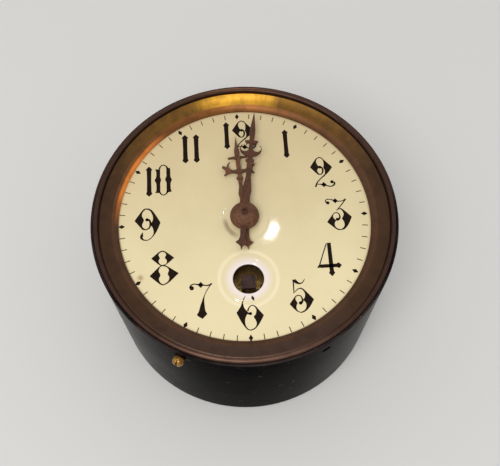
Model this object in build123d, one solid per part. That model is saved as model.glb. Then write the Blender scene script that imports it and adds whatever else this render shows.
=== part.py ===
from build123d import *
from dataclasses import dataclass
from math import atan2, cos, degrees, hypot, pi, radians, sin, sqrt
import os

# An eight-day drum clock: a brass case holding an enamel dial, two pierced hands and a going-barrel
# movement with a lever platform escapement behind the back plate.
# Millimetres. The origin is the centre of the back face, +Z runs along the case axis towards the dial,
# and 12 o'clock points along +Y.

# Case
CASE_RADIUS = 51.75
CASE_WALL = 0.7
CASE_CORNER = 2.5
CASE_RIM_DROP = 0.3
COVER_MARGIN = 5.75
COVER_SKIRT = 3.8
COVER_SKIRT_WALL = 0.6
PUSH_FIT = 0.05

# Bezel
BEAD_RADIUS = 0.8
BEAD_INSET = 0.15
BEZEL_SHEET = 0.6
BEZEL_FIT = 0.1
BEZEL_SKIRT = 10.0
BEZEL_WIDTH = 8.88
BEZEL_INNER_BAND = 2.03
BEZEL_LIP = 0.6
BEZEL_BAND_RISE = 1.35
BEZEL_BEAD_RISE = 3.53

# Movement ring and the screws through the case wall, bearings clockwise from 12
RING_WIDTH = 3.25
RING_LEDGE_WIDTH = 3.4
RING_LEDGE = 1.4
RING_HEIGHT = 7.85
CASE_SCREW_BEARINGS = (0.0, 207.0)
EMPTY_HOLE_BEARING = 153.0
CASE_SCREW_BELOW_DIAL = 2.75
CASE_SCREW_RADIUS = 1.2
CASE_HOLE_RADIUS = 1.7
CASE_HEAD_RADIUS = 1.9
CASE_HEAD_LENGTH = 2.6
THREAD_CLEARANCE = 0.05
RING_SCREW_BEARINGS = (0.0, 120.0, 240.0)

# Dial
DIAL_TOP = 64.75
DIAL_THICKNESS = 1.4
DIAL_BORDER = 1.83
DIAL_HOLE_RADIUS = 3.0
DIAL_SUNK_RADIUS = 8.3
DIAL_SUNK_DEPTH = 0.3
WINDING_HOLE_RADIUS = 5.15
WINDING_LIP_WIDTH = 0.6
WINDING_SUNK_RADIUS = 9.6
WINDING_SUNK_DEPTH = 0.3
SUNK_SLOPE = 0.7
DIAL_FOOT_RADIUS = 1.1
DIAL_FOOT_MARGIN = 3.7
DIAL_FOOT_ANGLES = (30.0, 150.0, 270.0)
DIAL_PIN_RADIUS = 0.3

# Frame
PLATE_THICKNESS = 2.2
PLATE_GAP = 28.0
FRONT_PLATE_MARGIN = 0.65
BACK_PLATE_MARGIN = 9.75
PILLAR_MARGIN = 5.0
PILLAR_ANGLES = (45.0, 135.0, 225.0, 315.0)
PILLAR_RADIUS = 3.0
PILLAR_WAIST_RADIUS = 2.1
SCREW_RADIUS = 1.2
SCREW_HOLE_CLEARANCE = 0.1
SCREW_HEAD_RADIUS = 2.2
SCREW_HEAD_HEIGHT = 1.3
SCREW_DEPTH = 4.0
SLOT_WIDTH = 0.5
PIVOT_CLEARANCE = 0.03
END_SHAKE = 0.1

# Barrel and winding work
BARREL_OFFSET = 21.6
BARREL_RIM = 0.4
BARREL_WALL = 0.8
BARREL_FLOOR = 1.4
BARREL_WHEEL_THICKNESS = 2.4
BARREL_BELOW_PLATE = 3.7
BARREL_ABOVE_PLATE = 2.7
BARREL_CORE_RADIUS = 4.6
BARREL_REAR_JOURNAL = 2.4
BARREL_REAR_PIVOT = 1.6
SQUARE_SIZE = 4.6
SQUARE_BELOW_DIAL = 3.0
SPRING_INNER_RADIUS = 5.0
SPRING_WALL_GAP = 0.4
SPRING_THICKNESS = 0.5
SPRING_HALF_TURNS = 16
RATCHET_RADIUS = 8.4
RATCHET_DEPTH = 1.2
RATCHET_TEETH = 24
RATCHET_THICKNESS = 1.8
RATCHET_LIFT = 0.3
CLICK_REACH = 13.0
CLICK_BEARING = -35.0
CLICK_NOSE_BEARING = -64.0
CLICK_HUB_RADIUS = 2.2
CLICK_CLEARANCE = 0.1
CLICK_SPRING_THICKNESS = 0.4

# Train
TOOTH_HEIGHT = 0.95
LEAF_HEIGHT = 0.75
TOOTH_DEPTH = 1.2
TIP_SHARE = 0.14
ROOT_SHARE = 0.44
RIM_WIDTH = 1.5
SPOKES = 5
SPOKE_WIDTH = 1.0
WHEEL_THICKNESS = 1.1
CENTRE_WHEEL_LIFT = 0.7
INTERMEDIATE_WHEEL_DROP = 1.2
THIRD_WHEEL_LIFT = 5.7
FOURTH_WHEEL_DROP = 3.3
INTERMEDIATE_ARBOR = 1.2
CENTRE_ARBOR = 1.3
THIRD_ARBOR = 0.8
FOURTH_ARBOR = 0.7
ESCAPE_ARBOR = 0.5
CENTRE_PIVOT = 1.0
CENTRE_TIP = 0.5
INTERMEDIATE_PIVOT = 0.7
THIRD_PIVOT = 0.45
FOURTH_PIVOT = 0.35
THIRD_BEARING = 45.0
FOURTH_BEARING = 120.0
ESCAPE_BEARING = 35.0

# Motion work and hands
MINUTE_BEARING = 135.0
CANNON_LIFT = 0.6
CANNON_LEAF_LENGTH = 2.5
CANNON_PIPE_RADIUS = 1.75
CANNON_TIP_RADIUS = 1.15
CANNON_TOP_ABOVE_DIAL = 7.2
HOUR_PIPE_RADIUS = 2.5
HOUR_PIPE_CLEARANCE = 0.06
HOUR_HAND_RISE = 0.85
HAND_THICKNESS = 0.8
MINUTE_HAND_RISE = 3.45
BOSS_RADIUS = 4.95
BOSS_BASE_RISE = 2.15
BOSS_HEIGHT = 4.3
MINUTE_POST_RADIUS = 1.0
MINUTE_HAND_LENGTH = 40.4
HOUR_HAND_LENGTH = 32.0
MINUTE_HAND_BEARING = 8.3
HOUR_HAND_BEARING = -2.9

# Platform escapement
PLATFORM_GAP = 6.6
PLATFORM_THICKNESS = 1.5
PLATFORM_LENGTH = 37.0
PLATFORM_WIDTH = 23.0
PLATFORM_CENTRE = (0.5, 25.0)
PLATFORM_SCREW_PLACES = ((-15.5, 16.5), (-15.5, 33.5), (16.5, 33.8), (16.5, 16.8))
POST_RADIUS = 1.8
POST_SCREW_RADIUS = 0.7
ESCAPE_TIP_RADIUS = 4.0
ESCAPE_TEETH = 15
ESCAPE_WHEEL_DROP = 1.25
ESCAPE_WHEEL_THICKNESS = 0.55
PALLET_ANGLE = 30.0
STONE_CLEARANCE = 0.2
STONE_LENGTH = 1.2
STONE_WIDTH = 0.5
LEVER_REACH = 6.6
LEVER_THICKNESS = 0.7
COCK_THICKNESS = 0.7
COCK_DROP = 2.4
SMALL_PIVOT = 0.2
ROLLER_RADIUS = 1.5
ROLLER_THICKNESS = 0.5
JEWEL_ORBIT = 1.0
JEWEL_RADIUS = 0.22
FORK_CLEARANCE = 0.15
BALANCE_RADIUS = 8.2
BALANCE_RIM = 1.0
BALANCE_THICKNESS = 1.2
BALANCE_DROP = 3.9
BALANCE_SCREWS = 10
STAFF_RADIUS = 0.6
COLLET_RADIUS = 1.15
HAIRSPRING_START = 1.35
HAIRSPRING_PITCH = 0.65
HAIRSPRING_HALF_TURNS = 13
HAIRSPRING_THICKNESS = 0.2
HAIRSPRING_HEIGHT = 0.5
HAIRSPRING_DROP = 0.9
BALANCE_COCK_THICKNESS = 1.5
BALANCE_COCK_GAP = 1.1
BALANCE_COCK_FOOT = 13.4
BALANCE_COCK_FOOT_SIZE = (7.4, 9.0)
BALANCE_COCK_WIDTH = 5.0
ESCAPE_COCK_FOOT = (-1.0, 7.4)
PALLET_COCK_FOOT = (0.5, -8.2)
SMALL_COCK_FOOT_SIZE = (4.4, 3.8)
INDEX_THICKNESS = 0.7
INDEX_REACH = 9.5
INDEX_SLOT_WIDTH = 3.0
INDEX_TRAVEL = 20.0

# Heights, from the dial down to the back
DIAL_BACK = DIAL_TOP - DIAL_THICKNESS
FRONT_TOP = DIAL_BACK - RING_HEIGHT
FRONT_BACK = FRONT_TOP - PLATE_THICKNESS
REAR_TOP = FRONT_BACK - PLATE_GAP
REAR_BACK = REAR_TOP - PLATE_THICKNESS
PLATFORM_TOP = REAR_BACK - PLATFORM_GAP
PLATFORM_BACK = PLATFORM_TOP - PLATFORM_THICKNESS
SIDE_SCREW_HEIGHT = DIAL_TOP - CASE_SCREW_BELOW_DIAL
BEAD_HEIGHT = DIAL_TOP + BEZEL_BEAD_RISE
CASE_RIM = BEAD_HEIGHT - CASE_RIM_DROP
SQUARE_TOP = DIAL_TOP - SQUARE_BELOW_DIAL
SQUARE_CORNER = SQUARE_SIZE / sqrt(2)

# Radii that follow from one another, from the case wall inwards
CASE_BORE = CASE_RADIUS - CASE_WALL
SKIRT_OUTER = CASE_BORE - BEZEL_FIT
SKIRT_INNER = SKIRT_OUTER - BEZEL_SHEET
RING_OUTER = SKIRT_INNER - BEZEL_FIT
RING_INNER = RING_OUTER - RING_WIDTH
RING_LEDGE_RADIUS = RING_INNER - RING_LEDGE_WIDTH
BEAD_PITCH_RADIUS = SKIRT_OUTER - BEAD_INSET - BEAD_RADIUS
BEZEL_OPENING_RADIUS = CASE_RADIUS - BEZEL_WIDTH
BEZEL_BAND_RADIUS = BEZEL_OPENING_RADIUS + BEZEL_INNER_BAND
DIAL_RADIUS = BEZEL_OPENING_RADIUS + DIAL_BORDER
DIAL_FOOT_CIRCLE = DIAL_RADIUS - DIAL_FOOT_MARGIN
FRONT_PLATE_RADIUS = RING_OUTER - FRONT_PLATE_MARGIN
BACK_PLATE_RADIUS = CASE_RADIUS - BACK_PLATE_MARGIN
PILLAR_CIRCLE = BACK_PLATE_RADIUS - PILLAR_MARGIN
COVER_RADIUS = CASE_RADIUS - COVER_MARGIN

OVERSHOOT = 1.0
LOW_CENTRE = (Align.CENTER, Align.CENTER, Align.MIN)


@dataclass(frozen=True)
class Mesh:
    """A wheel and the pinion that it turns."""

    wheel: int
    pinion: int
    module: float

    @property
    def distance(self):
        """Distance between the two arbors."""
        return self.module * (self.wheel + self.pinion) / 2


GREAT = Mesh(72, 12, 0.5)
SECOND = Mesh(64, 10, 0.42)
THIRD = Mesh(64, 8, 0.38)
FOURTH = Mesh(60, 8, 0.34)
ESCAPE = Mesh(70, 7, 0.26)
MINUTE = Mesh(36, 12, 0.5)
HOUR_TEETH = 40
HOUR_LEAVES = 10
HOUR = Mesh(HOUR_TEETH, HOUR_LEAVES, 2 * MINUTE.distance / (HOUR_TEETH + HOUR_LEAVES))


def away(start, distance, angle):
    """The point at a distance and an angle from +X."""
    return start[0] + distance * cos(radians(angle)), start[1] + distance * sin(radians(angle))


def left_meeting(start, start_distance, end, end_distance):
    """The point at two given distances from two others, on the left of the way from start to end."""
    span = hypot(end[0] - start[0], end[1] - start[1])
    along = (start_distance**2 - end_distance**2 + span**2) / (2 * span)
    across = sqrt(start_distance**2 - along**2)
    ux, uy = (end[0] - start[0]) / span, (end[1] - start[1]) / span
    return start[0] + along * ux - across * uy, start[1] + along * uy + across * ux


def bearing(start, end):
    """The angle from +X of the way from one point to another, in degrees."""
    return degrees(atan2(end[1] - start[1], end[0] - start[0]))


def clock_angle(clockwise):
    """The angle from +X of a clock bearing, in degrees."""
    return 90.0 - clockwise


# Places of the arbors
CENTRE_AT = (0.0, 0.0)
BARREL_AT = (0.0, -BARREL_OFFSET)
INTERMEDIATE_AT = left_meeting(BARREL_AT, GREAT.distance, CENTRE_AT, SECOND.distance)
THIRD_AT = away(CENTRE_AT, THIRD.distance, THIRD_BEARING)
FOURTH_AT = away(THIRD_AT, FOURTH.distance, FOURTH_BEARING)
ESCAPE_AT = away(FOURTH_AT, ESCAPE.distance, ESCAPE_BEARING)
MINUTE_AT = away(CENTRE_AT, MINUTE.distance, MINUTE_BEARING)
PALLET_AT = away(ESCAPE_AT, ESCAPE_TIP_RADIUS / cos(radians(PALLET_ANGLE)), 180.0)
BALANCE_AT = away(PALLET_AT, LEVER_REACH, 180.0)
CLICK_AT = away(BARREL_AT, CLICK_REACH, CLICK_BEARING)


def save(node, *solids):
    """Write one node's solids to its STEP file."""
    shape = solids[0] if len(solids) == 1 else Compound(children=list(solids))
    shape.label = node
    export_step(shape, f"parts/{node}.step")


def disc(radius, bottom, top, at=(0.0, 0.0)):
    """A round bar between two heights."""
    return Pos(at[0], at[1], bottom) * Cylinder(radius, top - bottom, align=LOW_CENTRE)


def hole(radius, at=(0.0, 0.0)):
    """A bar long enough to cut a hole through any piece along Z."""
    return disc(radius, -OVERSHOOT, CANNON_TOP + OVERSHOOT, at)


def turned(points, at=(0.0, 0.0)):
    """Revolve a closed outline of (radius, height) points about an upright axis."""
    outline = make_face(Polyline(*[(r, 0, z) for r, z in points], close=True))
    return Pos(at[0], at[1], 0) * revolve(outline, Axis.Z)


def shaft(steps, top, at):
    """A turned shaft: each step is a radius and the height where it starts."""
    points = [(0, steps[0][1])]
    ends = [z for _, z in steps[1:]] + [top]
    for (radius, start), end in zip(steps, ends):
        points += [(radius, start), (radius, end)]
    points.append((0, top))
    return turned(points, at)


def slab(points, bottom, top):
    """Extrude a closed outline of (x, y) points between two heights."""
    face = make_face(Polyline(*[(x, y, bottom) for x, y in points], close=True))
    return extrude(face, amount=top - bottom, dir=(0, 0, 1))


def strap(start, end, width, bottom, top):
    """A flat bar with round ends between two centres."""
    span = hypot(end[0] - start[0], end[1] - start[1])
    middle = Pos((start[0] + end[0]) / 2, (start[1] + end[1]) / 2, bottom)
    return middle * Rot(0, 0, bearing(start, end)) * extrude(SlotCenterToCenter(span, width), top - bottom)


def block(centre, length, width, bottom, top):
    """A plain block between two heights."""
    return Pos(centre[0], centre[1], bottom) * Box(length, width, top - bottom, align=LOW_CENTRE)


def radial_bar(radius, inner, outer, height, clockwise):
    """A round bar along a clock bearing, from one distance from the axis to another."""
    bar = Pos(inner, 0, height) * Rot(0, 90, 0) * Cylinder(radius, outer - inner, align=LOW_CENTRE)
    return Rot(0, 0, clock_angle(clockwise)) * bar


def screw(at, seat, up, radius=SCREW_RADIUS, depth=PLATE_THICKNESS + SCREW_DEPTH,
          head=SCREW_HEAD_RADIUS, height=SCREW_HEAD_HEIGHT):
    """A slotted screw whose head stands on the seat; up is 1 for a head above it and -1 for below."""
    bar = disc(radius, -depth, 0) + disc(head, 0, height)
    bar -= Pos(0, 0, height) * Box(2 * head + OVERSHOOT, SLOT_WIDTH, height)
    return Pos(at[0], at[1], seat) * (bar if up > 0 else Rot(180, 0, 0) * bar)


def toothed(teeth, module, height, first, at, bottom, top):
    """A toothed blank: straight-sided teeth, the first one centred on an angle from +X."""
    pitch_radius = module * teeth / 2
    tip = pitch_radius + height * module
    root = pitch_radius - TOOTH_DEPTH * module
    step = 360.0 / teeth
    points = []
    for tooth in range(teeth):
        middle = first + tooth * step
        points.append(away(at, root, middle - ROOT_SHARE * step / 2))
        points.append(away(at, tip, middle - TIP_SHARE * step / 2))
        points.append(away(at, tip, middle + TIP_SHARE * step / 2))
        points.append(away(at, root, middle + ROOT_SHARE * step / 2))
    return slab(points, bottom, top)


def leaves(teeth, module, wheel_at, at, bottom, top):
    """A pinion's leaves, with a gap facing the wheel that turns it."""
    first = bearing(at, wheel_at) + 180.0 / teeth
    return toothed(teeth, module, LEAF_HEIGHT, first, at, bottom, top)


def windows(rim, hub, spokes, width, at, bottom, top, first=0.0):
    """The gaps between the spokes of a crossed wheel."""
    gap = disc(rim, bottom - OVERSHOOT, top + OVERSHOOT, at) - disc(hub, bottom - OVERSHOOT, top + OVERSHOOT, at)
    for spoke in range(spokes):
        angle = first + spoke * 360.0 / spokes
        arm = Pos(at[0], at[1], bottom - OVERSHOOT) * Rot(0, 0, angle)
        arm *= Box(rim + OVERSHOOT, width, top - bottom + 2 * OVERSHOOT, align=(Align.MIN, Align.CENTER, Align.MIN))
        gap -= arm
    return gap


def wheel(teeth, module, pinion_at, at, bottom, bore, hub, thickness=WHEEL_THICKNESS):
    """A crossed wheel with a hub, one tooth pointing at the pinion that it turns."""
    top = bottom + thickness
    blank = toothed(teeth, module, TOOTH_HEIGHT, bearing(at, pinion_at), at, bottom, top)
    rim = module * teeth / 2 - TOOTH_DEPTH * module - RIM_WIDTH
    blank -= windows(rim, hub, SPOKES, SPOKE_WIDTH, at, bottom, top)
    blank += disc(hub, top, top + thickness / 2, at)
    return blank - hole(bore, at)


def spiral(start, pitch, half_turns, thickness, at, bottom, top):
    """A flat strip coiled in half turns whose centres step to and fro by half the pitch."""
    edges = []
    for side in (-thickness / 2, thickness / 2):
        for turn in range(half_turns):
            centre = (at[0] + (turn % 2) * pitch / 2, at[1], bottom)
            radius = start + turn * pitch / 2 + side
            edges.append(CenterArc(centre, radius, 180.0 * (turn % 2), 180.0))
    first, last = at[0] + start, start + (half_turns - 1) * pitch / 2
    outward = 1 if half_turns % 2 == 0 else -1
    final = at[0] + ((half_turns - 1) % 2) * pitch / 2 + outward * last
    for middle in (first, final):
        low, high = middle - thickness / 2, middle + thickness / 2
        edges.append(Line((low, at[1], bottom), (high, at[1], bottom)))
    return extrude(make_face(edges), amount=top - bottom, dir=(0, 0, 1))


# Case


def drum_body():
    """The case wall and its rounded back corner, open behind for the cover."""
    outer = disc(CASE_RADIUS, 0, CASE_RIM)
    outer = fillet(outer.edges().group_by(Axis.Z)[0], CASE_CORNER)
    inner = disc(CASE_BORE, CASE_WALL, CASE_RIM + OVERSHOOT)
    inner = fillet(inner.edges().group_by(Axis.Z)[0], CASE_CORNER - CASE_WALL)
    drum = outer - inner - disc(COVER_RADIUS, -OVERSHOOT, CASE_CORNER)
    for clockwise in CASE_SCREW_BEARINGS + (EMPTY_HOLE_BEARING,):
        drum -= radial_bar(CASE_HOLE_RADIUS, RING_OUTER, CASE_RADIUS + OVERSHOOT, SIDE_SCREW_HEIGHT, clockwise)
    return drum


def back_cover():
    """The push-on back, with a curved slot over the regulator."""
    radius = COVER_RADIUS - PUSH_FIT
    skirt_bore = radius - COVER_SKIRT_WALL
    cover = disc(radius, 0, CASE_WALL + COVER_SKIRT) - disc(skirt_bore, CASE_WALL, CASE_WALL + COVER_SKIRT + OVERSHOOT)
    arc = CenterArc((*BALANCE_AT, -OVERSHOOT), INDEX_REACH, 90.0 - 1.3 * INDEX_TRAVEL, 2.6 * INDEX_TRAVEL)
    slot = extrude(trace(arc, INDEX_SLOT_WIDTH), amount=CASE_WALL + 2 * OVERSHOOT, dir=(0, 0, 1))
    return cover - slot


def bezel():
    """A spun rim: a rolled bead, a hollow band, a steeper inner band and a skirt inside the case."""
    lip_top = DIAL_TOP + PUSH_FIT + BEZEL_LIP
    lip_back = DIAL_TOP + PUSH_FIT
    band = lip_top + BEZEL_BAND_RISE
    shoulder = BEAD_HEIGHT - BEAD_RADIUS / 2
    groove = BEAD_PITCH_RADIUS - BEAD_RADIUS
    bottom = BEAD_HEIGHT - BEZEL_SKIRT
    outline = [
        Line((SKIRT_OUTER, 0, bottom), (SKIRT_OUTER, 0, shoulder)),
        Line((SKIRT_OUTER, 0, shoulder), (BEAD_PITCH_RADIUS + BEAD_RADIUS, 0, BEAD_HEIGHT)),
        ThreePointArc((BEAD_PITCH_RADIUS + BEAD_RADIUS, 0, BEAD_HEIGHT),
                      (BEAD_PITCH_RADIUS, 0, BEAD_HEIGHT + BEAD_RADIUS), (groove, 0, BEAD_HEIGHT)),
        Line((groove, 0, BEAD_HEIGHT), (groove - 0.1, 0, shoulder)),
        Line((groove - 0.1, 0, shoulder), (groove - 0.5, 0, shoulder + 0.1)),
        ThreePointArc((groove - 0.5, 0, shoulder + 0.1), ((groove + BEZEL_BAND_RADIUS) / 2, 0, band + 0.5),
                      (BEZEL_BAND_RADIUS, 0, band)),
        ThreePointArc((BEZEL_BAND_RADIUS, 0, band),
                      ((BEZEL_BAND_RADIUS + BEZEL_OPENING_RADIUS) / 2 - 0.1, 0, (band + lip_top) / 2 + 0.1),
                      (BEZEL_OPENING_RADIUS, 0, lip_top)),
        Line((BEZEL_OPENING_RADIUS, 0, lip_top), (BEZEL_OPENING_RADIUS, 0, lip_back)),
        Line((BEZEL_OPENING_RADIUS, 0, lip_back), (BEZEL_OPENING_RADIUS + 1.2, 0, lip_back)),
        Line((BEZEL_OPENING_RADIUS + 1.2, 0, lip_back), (BEZEL_BAND_RADIUS + 0.6, 0, band - BEZEL_SHEET)),
        Line((BEZEL_BAND_RADIUS + 0.6, 0, band - BEZEL_SHEET), (SKIRT_INNER, 0, shoulder - BEZEL_SHEET)),
        Line((SKIRT_INNER, 0, shoulder - BEZEL_SHEET), (SKIRT_INNER, 0, bottom)),
        Line((SKIRT_INNER, 0, bottom), (SKIRT_OUTER, 0, bottom)),
    ]
    rim = revolve(make_face(outline), Axis.Z)
    for clockwise in CASE_SCREW_BEARINGS + (EMPTY_HOLE_BEARING,):
        rim -= radial_bar(CASE_HOLE_RADIUS, RING_OUTER, CASE_RADIUS, SIDE_SCREW_HEIGHT, clockwise)
    return rim


def movement_ring():
    """The ring that carries the front plate and the dial, tapped for the screws."""
    ring = turned([
        (RING_INNER, FRONT_TOP), (RING_OUTER, FRONT_TOP), (RING_OUTER, DIAL_BACK),
        (RING_LEDGE_RADIUS, DIAL_BACK), (RING_LEDGE_RADIUS, DIAL_BACK - RING_LEDGE),
        (RING_INNER, DIAL_BACK - RING_LEDGE),
    ])
    for clockwise in CASE_SCREW_BEARINGS + (EMPTY_HOLE_BEARING,):
        ring -= radial_bar(CASE_SCREW_RADIUS + THREAD_CLEARANCE, RING_INNER - OVERSHOOT, CASE_RADIUS,
                           SIDE_SCREW_HEIGHT, clockwise)
    for place in ring_screw_places():
        ring -= disc(SCREW_RADIUS + THREAD_CLEARANCE, FRONT_TOP - OVERSHOOT, FRONT_TOP + SCREW_DEPTH, place)
    return ring


def ring_screw_places():
    """Where the screws hold the front plate to the ring."""
    middle = (RING_INNER + RING_OUTER) / 2
    return [away(CENTRE_AT, middle, clock_angle(clockwise)) for clockwise in RING_SCREW_BEARINGS]


def case_screws():
    """Round-headed screws from outside the case wall into the ring."""
    screws = []
    seat = CASE_RADIUS
    dome = make_face([
        Line((0, 0, 0), (CASE_HEAD_RADIUS, 0, 0)),
        Line((CASE_HEAD_RADIUS, 0, 0), (CASE_HEAD_RADIUS, 0, CASE_HEAD_LENGTH / 2)),
        ThreePointArc((CASE_HEAD_RADIUS, 0, CASE_HEAD_LENGTH / 2),
                      (0.75 * CASE_HEAD_RADIUS, 0, 0.85 * CASE_HEAD_LENGTH), (0, 0, CASE_HEAD_LENGTH)),
        Line((0, 0, CASE_HEAD_LENGTH), (0, 0, 0)),
    ])
    head = revolve(dome, Axis.Z)
    head -= Pos(0, 0, CASE_HEAD_LENGTH) * Box(2 * CASE_HEAD_RADIUS, SLOT_WIDTH, CASE_HEAD_LENGTH)
    for clockwise in CASE_SCREW_BEARINGS:
        turned_head = Rot(0, 0, clock_angle(clockwise)) * Pos(seat, 0, SIDE_SCREW_HEIGHT) * Rot(0, 90, 0) * head
        shank = radial_bar(CASE_SCREW_RADIUS, RING_INNER, seat, SIDE_SCREW_HEIGHT, clockwise)
        screws.append(turned_head + shank)
    return screws


def ring_screws():
    """Screws from the back of the front plate into the ring."""
    depth = PLATE_THICKNESS + SCREW_DEPTH - END_SHAKE
    return [screw(place, FRONT_BACK, -1, SCREW_RADIUS, depth, 1.5, SCREW_HEAD_HEIGHT)
            for place in ring_screw_places()]


# Dial


def enamel_dial():
    """An enamelled copper disc, sunk a little at the centre and round the winding hole."""
    sunk = DIAL_TOP - DIAL_SUNK_DEPTH
    dial = turned([
        (DIAL_HOLE_RADIUS, DIAL_BACK), (DIAL_RADIUS, DIAL_BACK), (DIAL_RADIUS, DIAL_TOP),
        (DIAL_SUNK_RADIUS, DIAL_TOP), (DIAL_SUNK_RADIUS - SUNK_SLOPE, sunk), (DIAL_HOLE_RADIUS, sunk),
    ])
    lip = WINDING_HOLE_RADIUS + WINDING_LIP_WIDTH
    floor = DIAL_TOP - WINDING_SUNK_DEPTH
    dial -= turned([
        (lip, DIAL_TOP + OVERSHOOT), (lip, DIAL_TOP), (lip + SUNK_SLOPE, floor),
        (WINDING_SUNK_RADIUS - SUNK_SLOPE, floor), (WINDING_SUNK_RADIUS, DIAL_TOP),
        (WINDING_SUNK_RADIUS, DIAL_TOP + OVERSHOOT),
    ], BARREL_AT)
    return dial - disc(WINDING_HOLE_RADIUS, DIAL_BACK - OVERSHOOT, DIAL_TOP + OVERSHOOT, BARREL_AT)


def dial_foot_places():
    """Where the feet pass through the front plate."""
    return [away(CENTRE_AT, DIAL_FOOT_CIRCLE, angle) for angle in DIAL_FOOT_ANGLES]


def dial_feet():
    """Copper posts under the dial, cross-drilled behind the front plate for pins."""
    feet = []
    for place, angle in zip(dial_foot_places(), DIAL_FOOT_ANGLES):
        foot = disc(DIAL_FOOT_RADIUS, FRONT_BACK - 4 * DIAL_PIN_RADIUS, DIAL_BACK, place)
        feet.append(foot - dial_pin(place, angle, DIAL_PIN_RADIUS + PIVOT_CLEARANCE))
    return feet


def dial_pin(place, angle, radius):
    """A pin across a foot, square to the way from the dial's centre."""
    length = 6 * DIAL_FOOT_RADIUS
    bar = Rot(0, 90, 0) * Cylinder(radius, length)
    height = FRONT_BACK - DIAL_PIN_RADIUS - PIVOT_CLEARANCE
    return Pos(place[0], place[1], height) * Rot(0, 0, angle + 90) * bar


def dial_pins():
    """The pins that hold the dial's feet."""
    return [dial_pin(place, angle, DIAL_PIN_RADIUS) for place, angle in zip(dial_foot_places(), DIAL_FOOT_ANGLES)]


# Frame


def pillar_places():
    """Where the pillars stand."""
    return [away(CENTRE_AT, PILLAR_CIRCLE, angle) for angle in PILLAR_ANGLES]


def front_plate():
    """The plate behind the dial, bored for the arbors, the feet and the screws."""
    plate = disc(FRONT_PLATE_RADIUS, FRONT_BACK, FRONT_TOP)
    bores = [
        (SQUARE_CORNER + PIVOT_CLEARANCE, BARREL_AT), (CENTRE_PIVOT + PIVOT_CLEARANCE, CENTRE_AT),
        (INTERMEDIATE_PIVOT + PIVOT_CLEARANCE, INTERMEDIATE_AT), (THIRD_PIVOT + PIVOT_CLEARANCE, THIRD_AT),
        (FOURTH_PIVOT + PIVOT_CLEARANCE, FOURTH_AT), (MINUTE_POST_RADIUS + PIVOT_CLEARANCE, MINUTE_AT),
    ]
    bores += [(DIAL_FOOT_RADIUS + THREAD_CLEARANCE, place) for place in dial_foot_places()]
    bores += [(SCREW_RADIUS + SCREW_HOLE_CLEARANCE, place) for place in pillar_places() + ring_screw_places()]
    bores += [(CLICK_SCREW_RADIUS + THREAD_CLEARANCE, place) for place in (CLICK_AT, CLICK_SPRING_AT)]
    for radius, place in bores:
        plate -= hole(radius, place)
    return plate


def back_plate():
    """The rear plate, bored for the arbors and the pillar screws."""
    plate = disc(BACK_PLATE_RADIUS, REAR_BACK, REAR_TOP)
    bores = [
        (BARREL_REAR_PIVOT + PIVOT_CLEARANCE, BARREL_AT), (INTERMEDIATE_PIVOT + PIVOT_CLEARANCE, CENTRE_AT),
        (INTERMEDIATE_PIVOT + PIVOT_CLEARANCE, INTERMEDIATE_AT), (THIRD_PIVOT + PIVOT_CLEARANCE, THIRD_AT),
        (FOURTH_ARBOR + 2 * SCREW_HOLE_CLEARANCE, FOURTH_AT), (SMALL_PIVOT + PIVOT_CLEARANCE, ESCAPE_AT),
    ]
    bores += [(SCREW_RADIUS + SCREW_HOLE_CLEARANCE, place) for place in pillar_places()]
    for radius, place in bores:
        plate -= hole(radius, place)
    return plate


def pillars():
    """Turned pillars between the plates, tapped at both ends."""
    middle = (REAR_TOP + FRONT_BACK) / 2
    collar = 2.5
    columns = []
    for place in pillar_places():
        column = turned([
            (0, REAR_TOP), (PILLAR_RADIUS, REAR_TOP), (PILLAR_RADIUS, REAR_TOP + collar),
            (PILLAR_WAIST_RADIUS, REAR_TOP + 2 * collar), (PILLAR_WAIST_RADIUS, middle - collar),
            (PILLAR_RADIUS, middle), (PILLAR_WAIST_RADIUS, middle + collar),
            (PILLAR_WAIST_RADIUS, FRONT_BACK - 2 * collar), (PILLAR_RADIUS, FRONT_BACK - collar),
            (PILLAR_RADIUS, FRONT_BACK), (0, FRONT_BACK),
        ], place)
        tap = SCREW_RADIUS + THREAD_CLEARANCE
        column -= disc(tap, REAR_TOP - OVERSHOOT, REAR_TOP + SCREW_DEPTH + END_SHAKE, place)
        column -= disc(tap, FRONT_BACK - SCREW_DEPTH - END_SHAKE, FRONT_BACK + OVERSHOOT, place)
        columns.append(column)
    return columns


def pillar_screws():
    """Screws through both plates into the pillars."""
    return ([screw(place, FRONT_TOP, 1) for place in pillar_places()]
            + [screw(place, REAR_BACK, -1) for place in pillar_places()])


# Barrel and winding work

BARREL_BOTTOM = REAR_TOP + BARREL_ABOVE_PLATE
BARREL_TOP = FRONT_BACK - BARREL_BELOW_PLATE
BARREL_RADIUS = (GREAT.wheel / 2 - TOOTH_DEPTH) * GREAT.module - BARREL_RIM
BARREL_BORE = BARREL_RADIUS - BARREL_WALL
SPRING_PITCH = 2 * (BARREL_BORE - SPRING_WALL_GAP - SPRING_INNER_RADIUS) / SPRING_HALF_TURNS
SPRING_ROOM = 0.2
RATCHET_BOTTOM = FRONT_TOP + RATCHET_LIFT
RATCHET_TOP = RATCHET_BOTTOM + RATCHET_THICKNESS
CLICK_SCREW_RADIUS = 0.9
CLICK_SPRING_AT = away(BARREL_AT, 21.5, -26.0)


def barrel():
    """The spring barrel with its great wheel cut on the floor's rim."""
    drum = toothed(GREAT.wheel, GREAT.module, TOOTH_HEIGHT, bearing(BARREL_AT, INTERMEDIATE_AT), BARREL_AT,
                   BARREL_BOTTOM, BARREL_BOTTOM + BARREL_WHEEL_THICKNESS)
    drum += disc(BARREL_RADIUS, BARREL_BOTTOM, BARREL_TOP, BARREL_AT)
    drum -= disc(BARREL_BORE, BARREL_BOTTOM + BARREL_FLOOR, BARREL_TOP + OVERSHOOT, BARREL_AT)
    return drum - hole(BARREL_REAR_JOURNAL + PIVOT_CLEARANCE, BARREL_AT)


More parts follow.
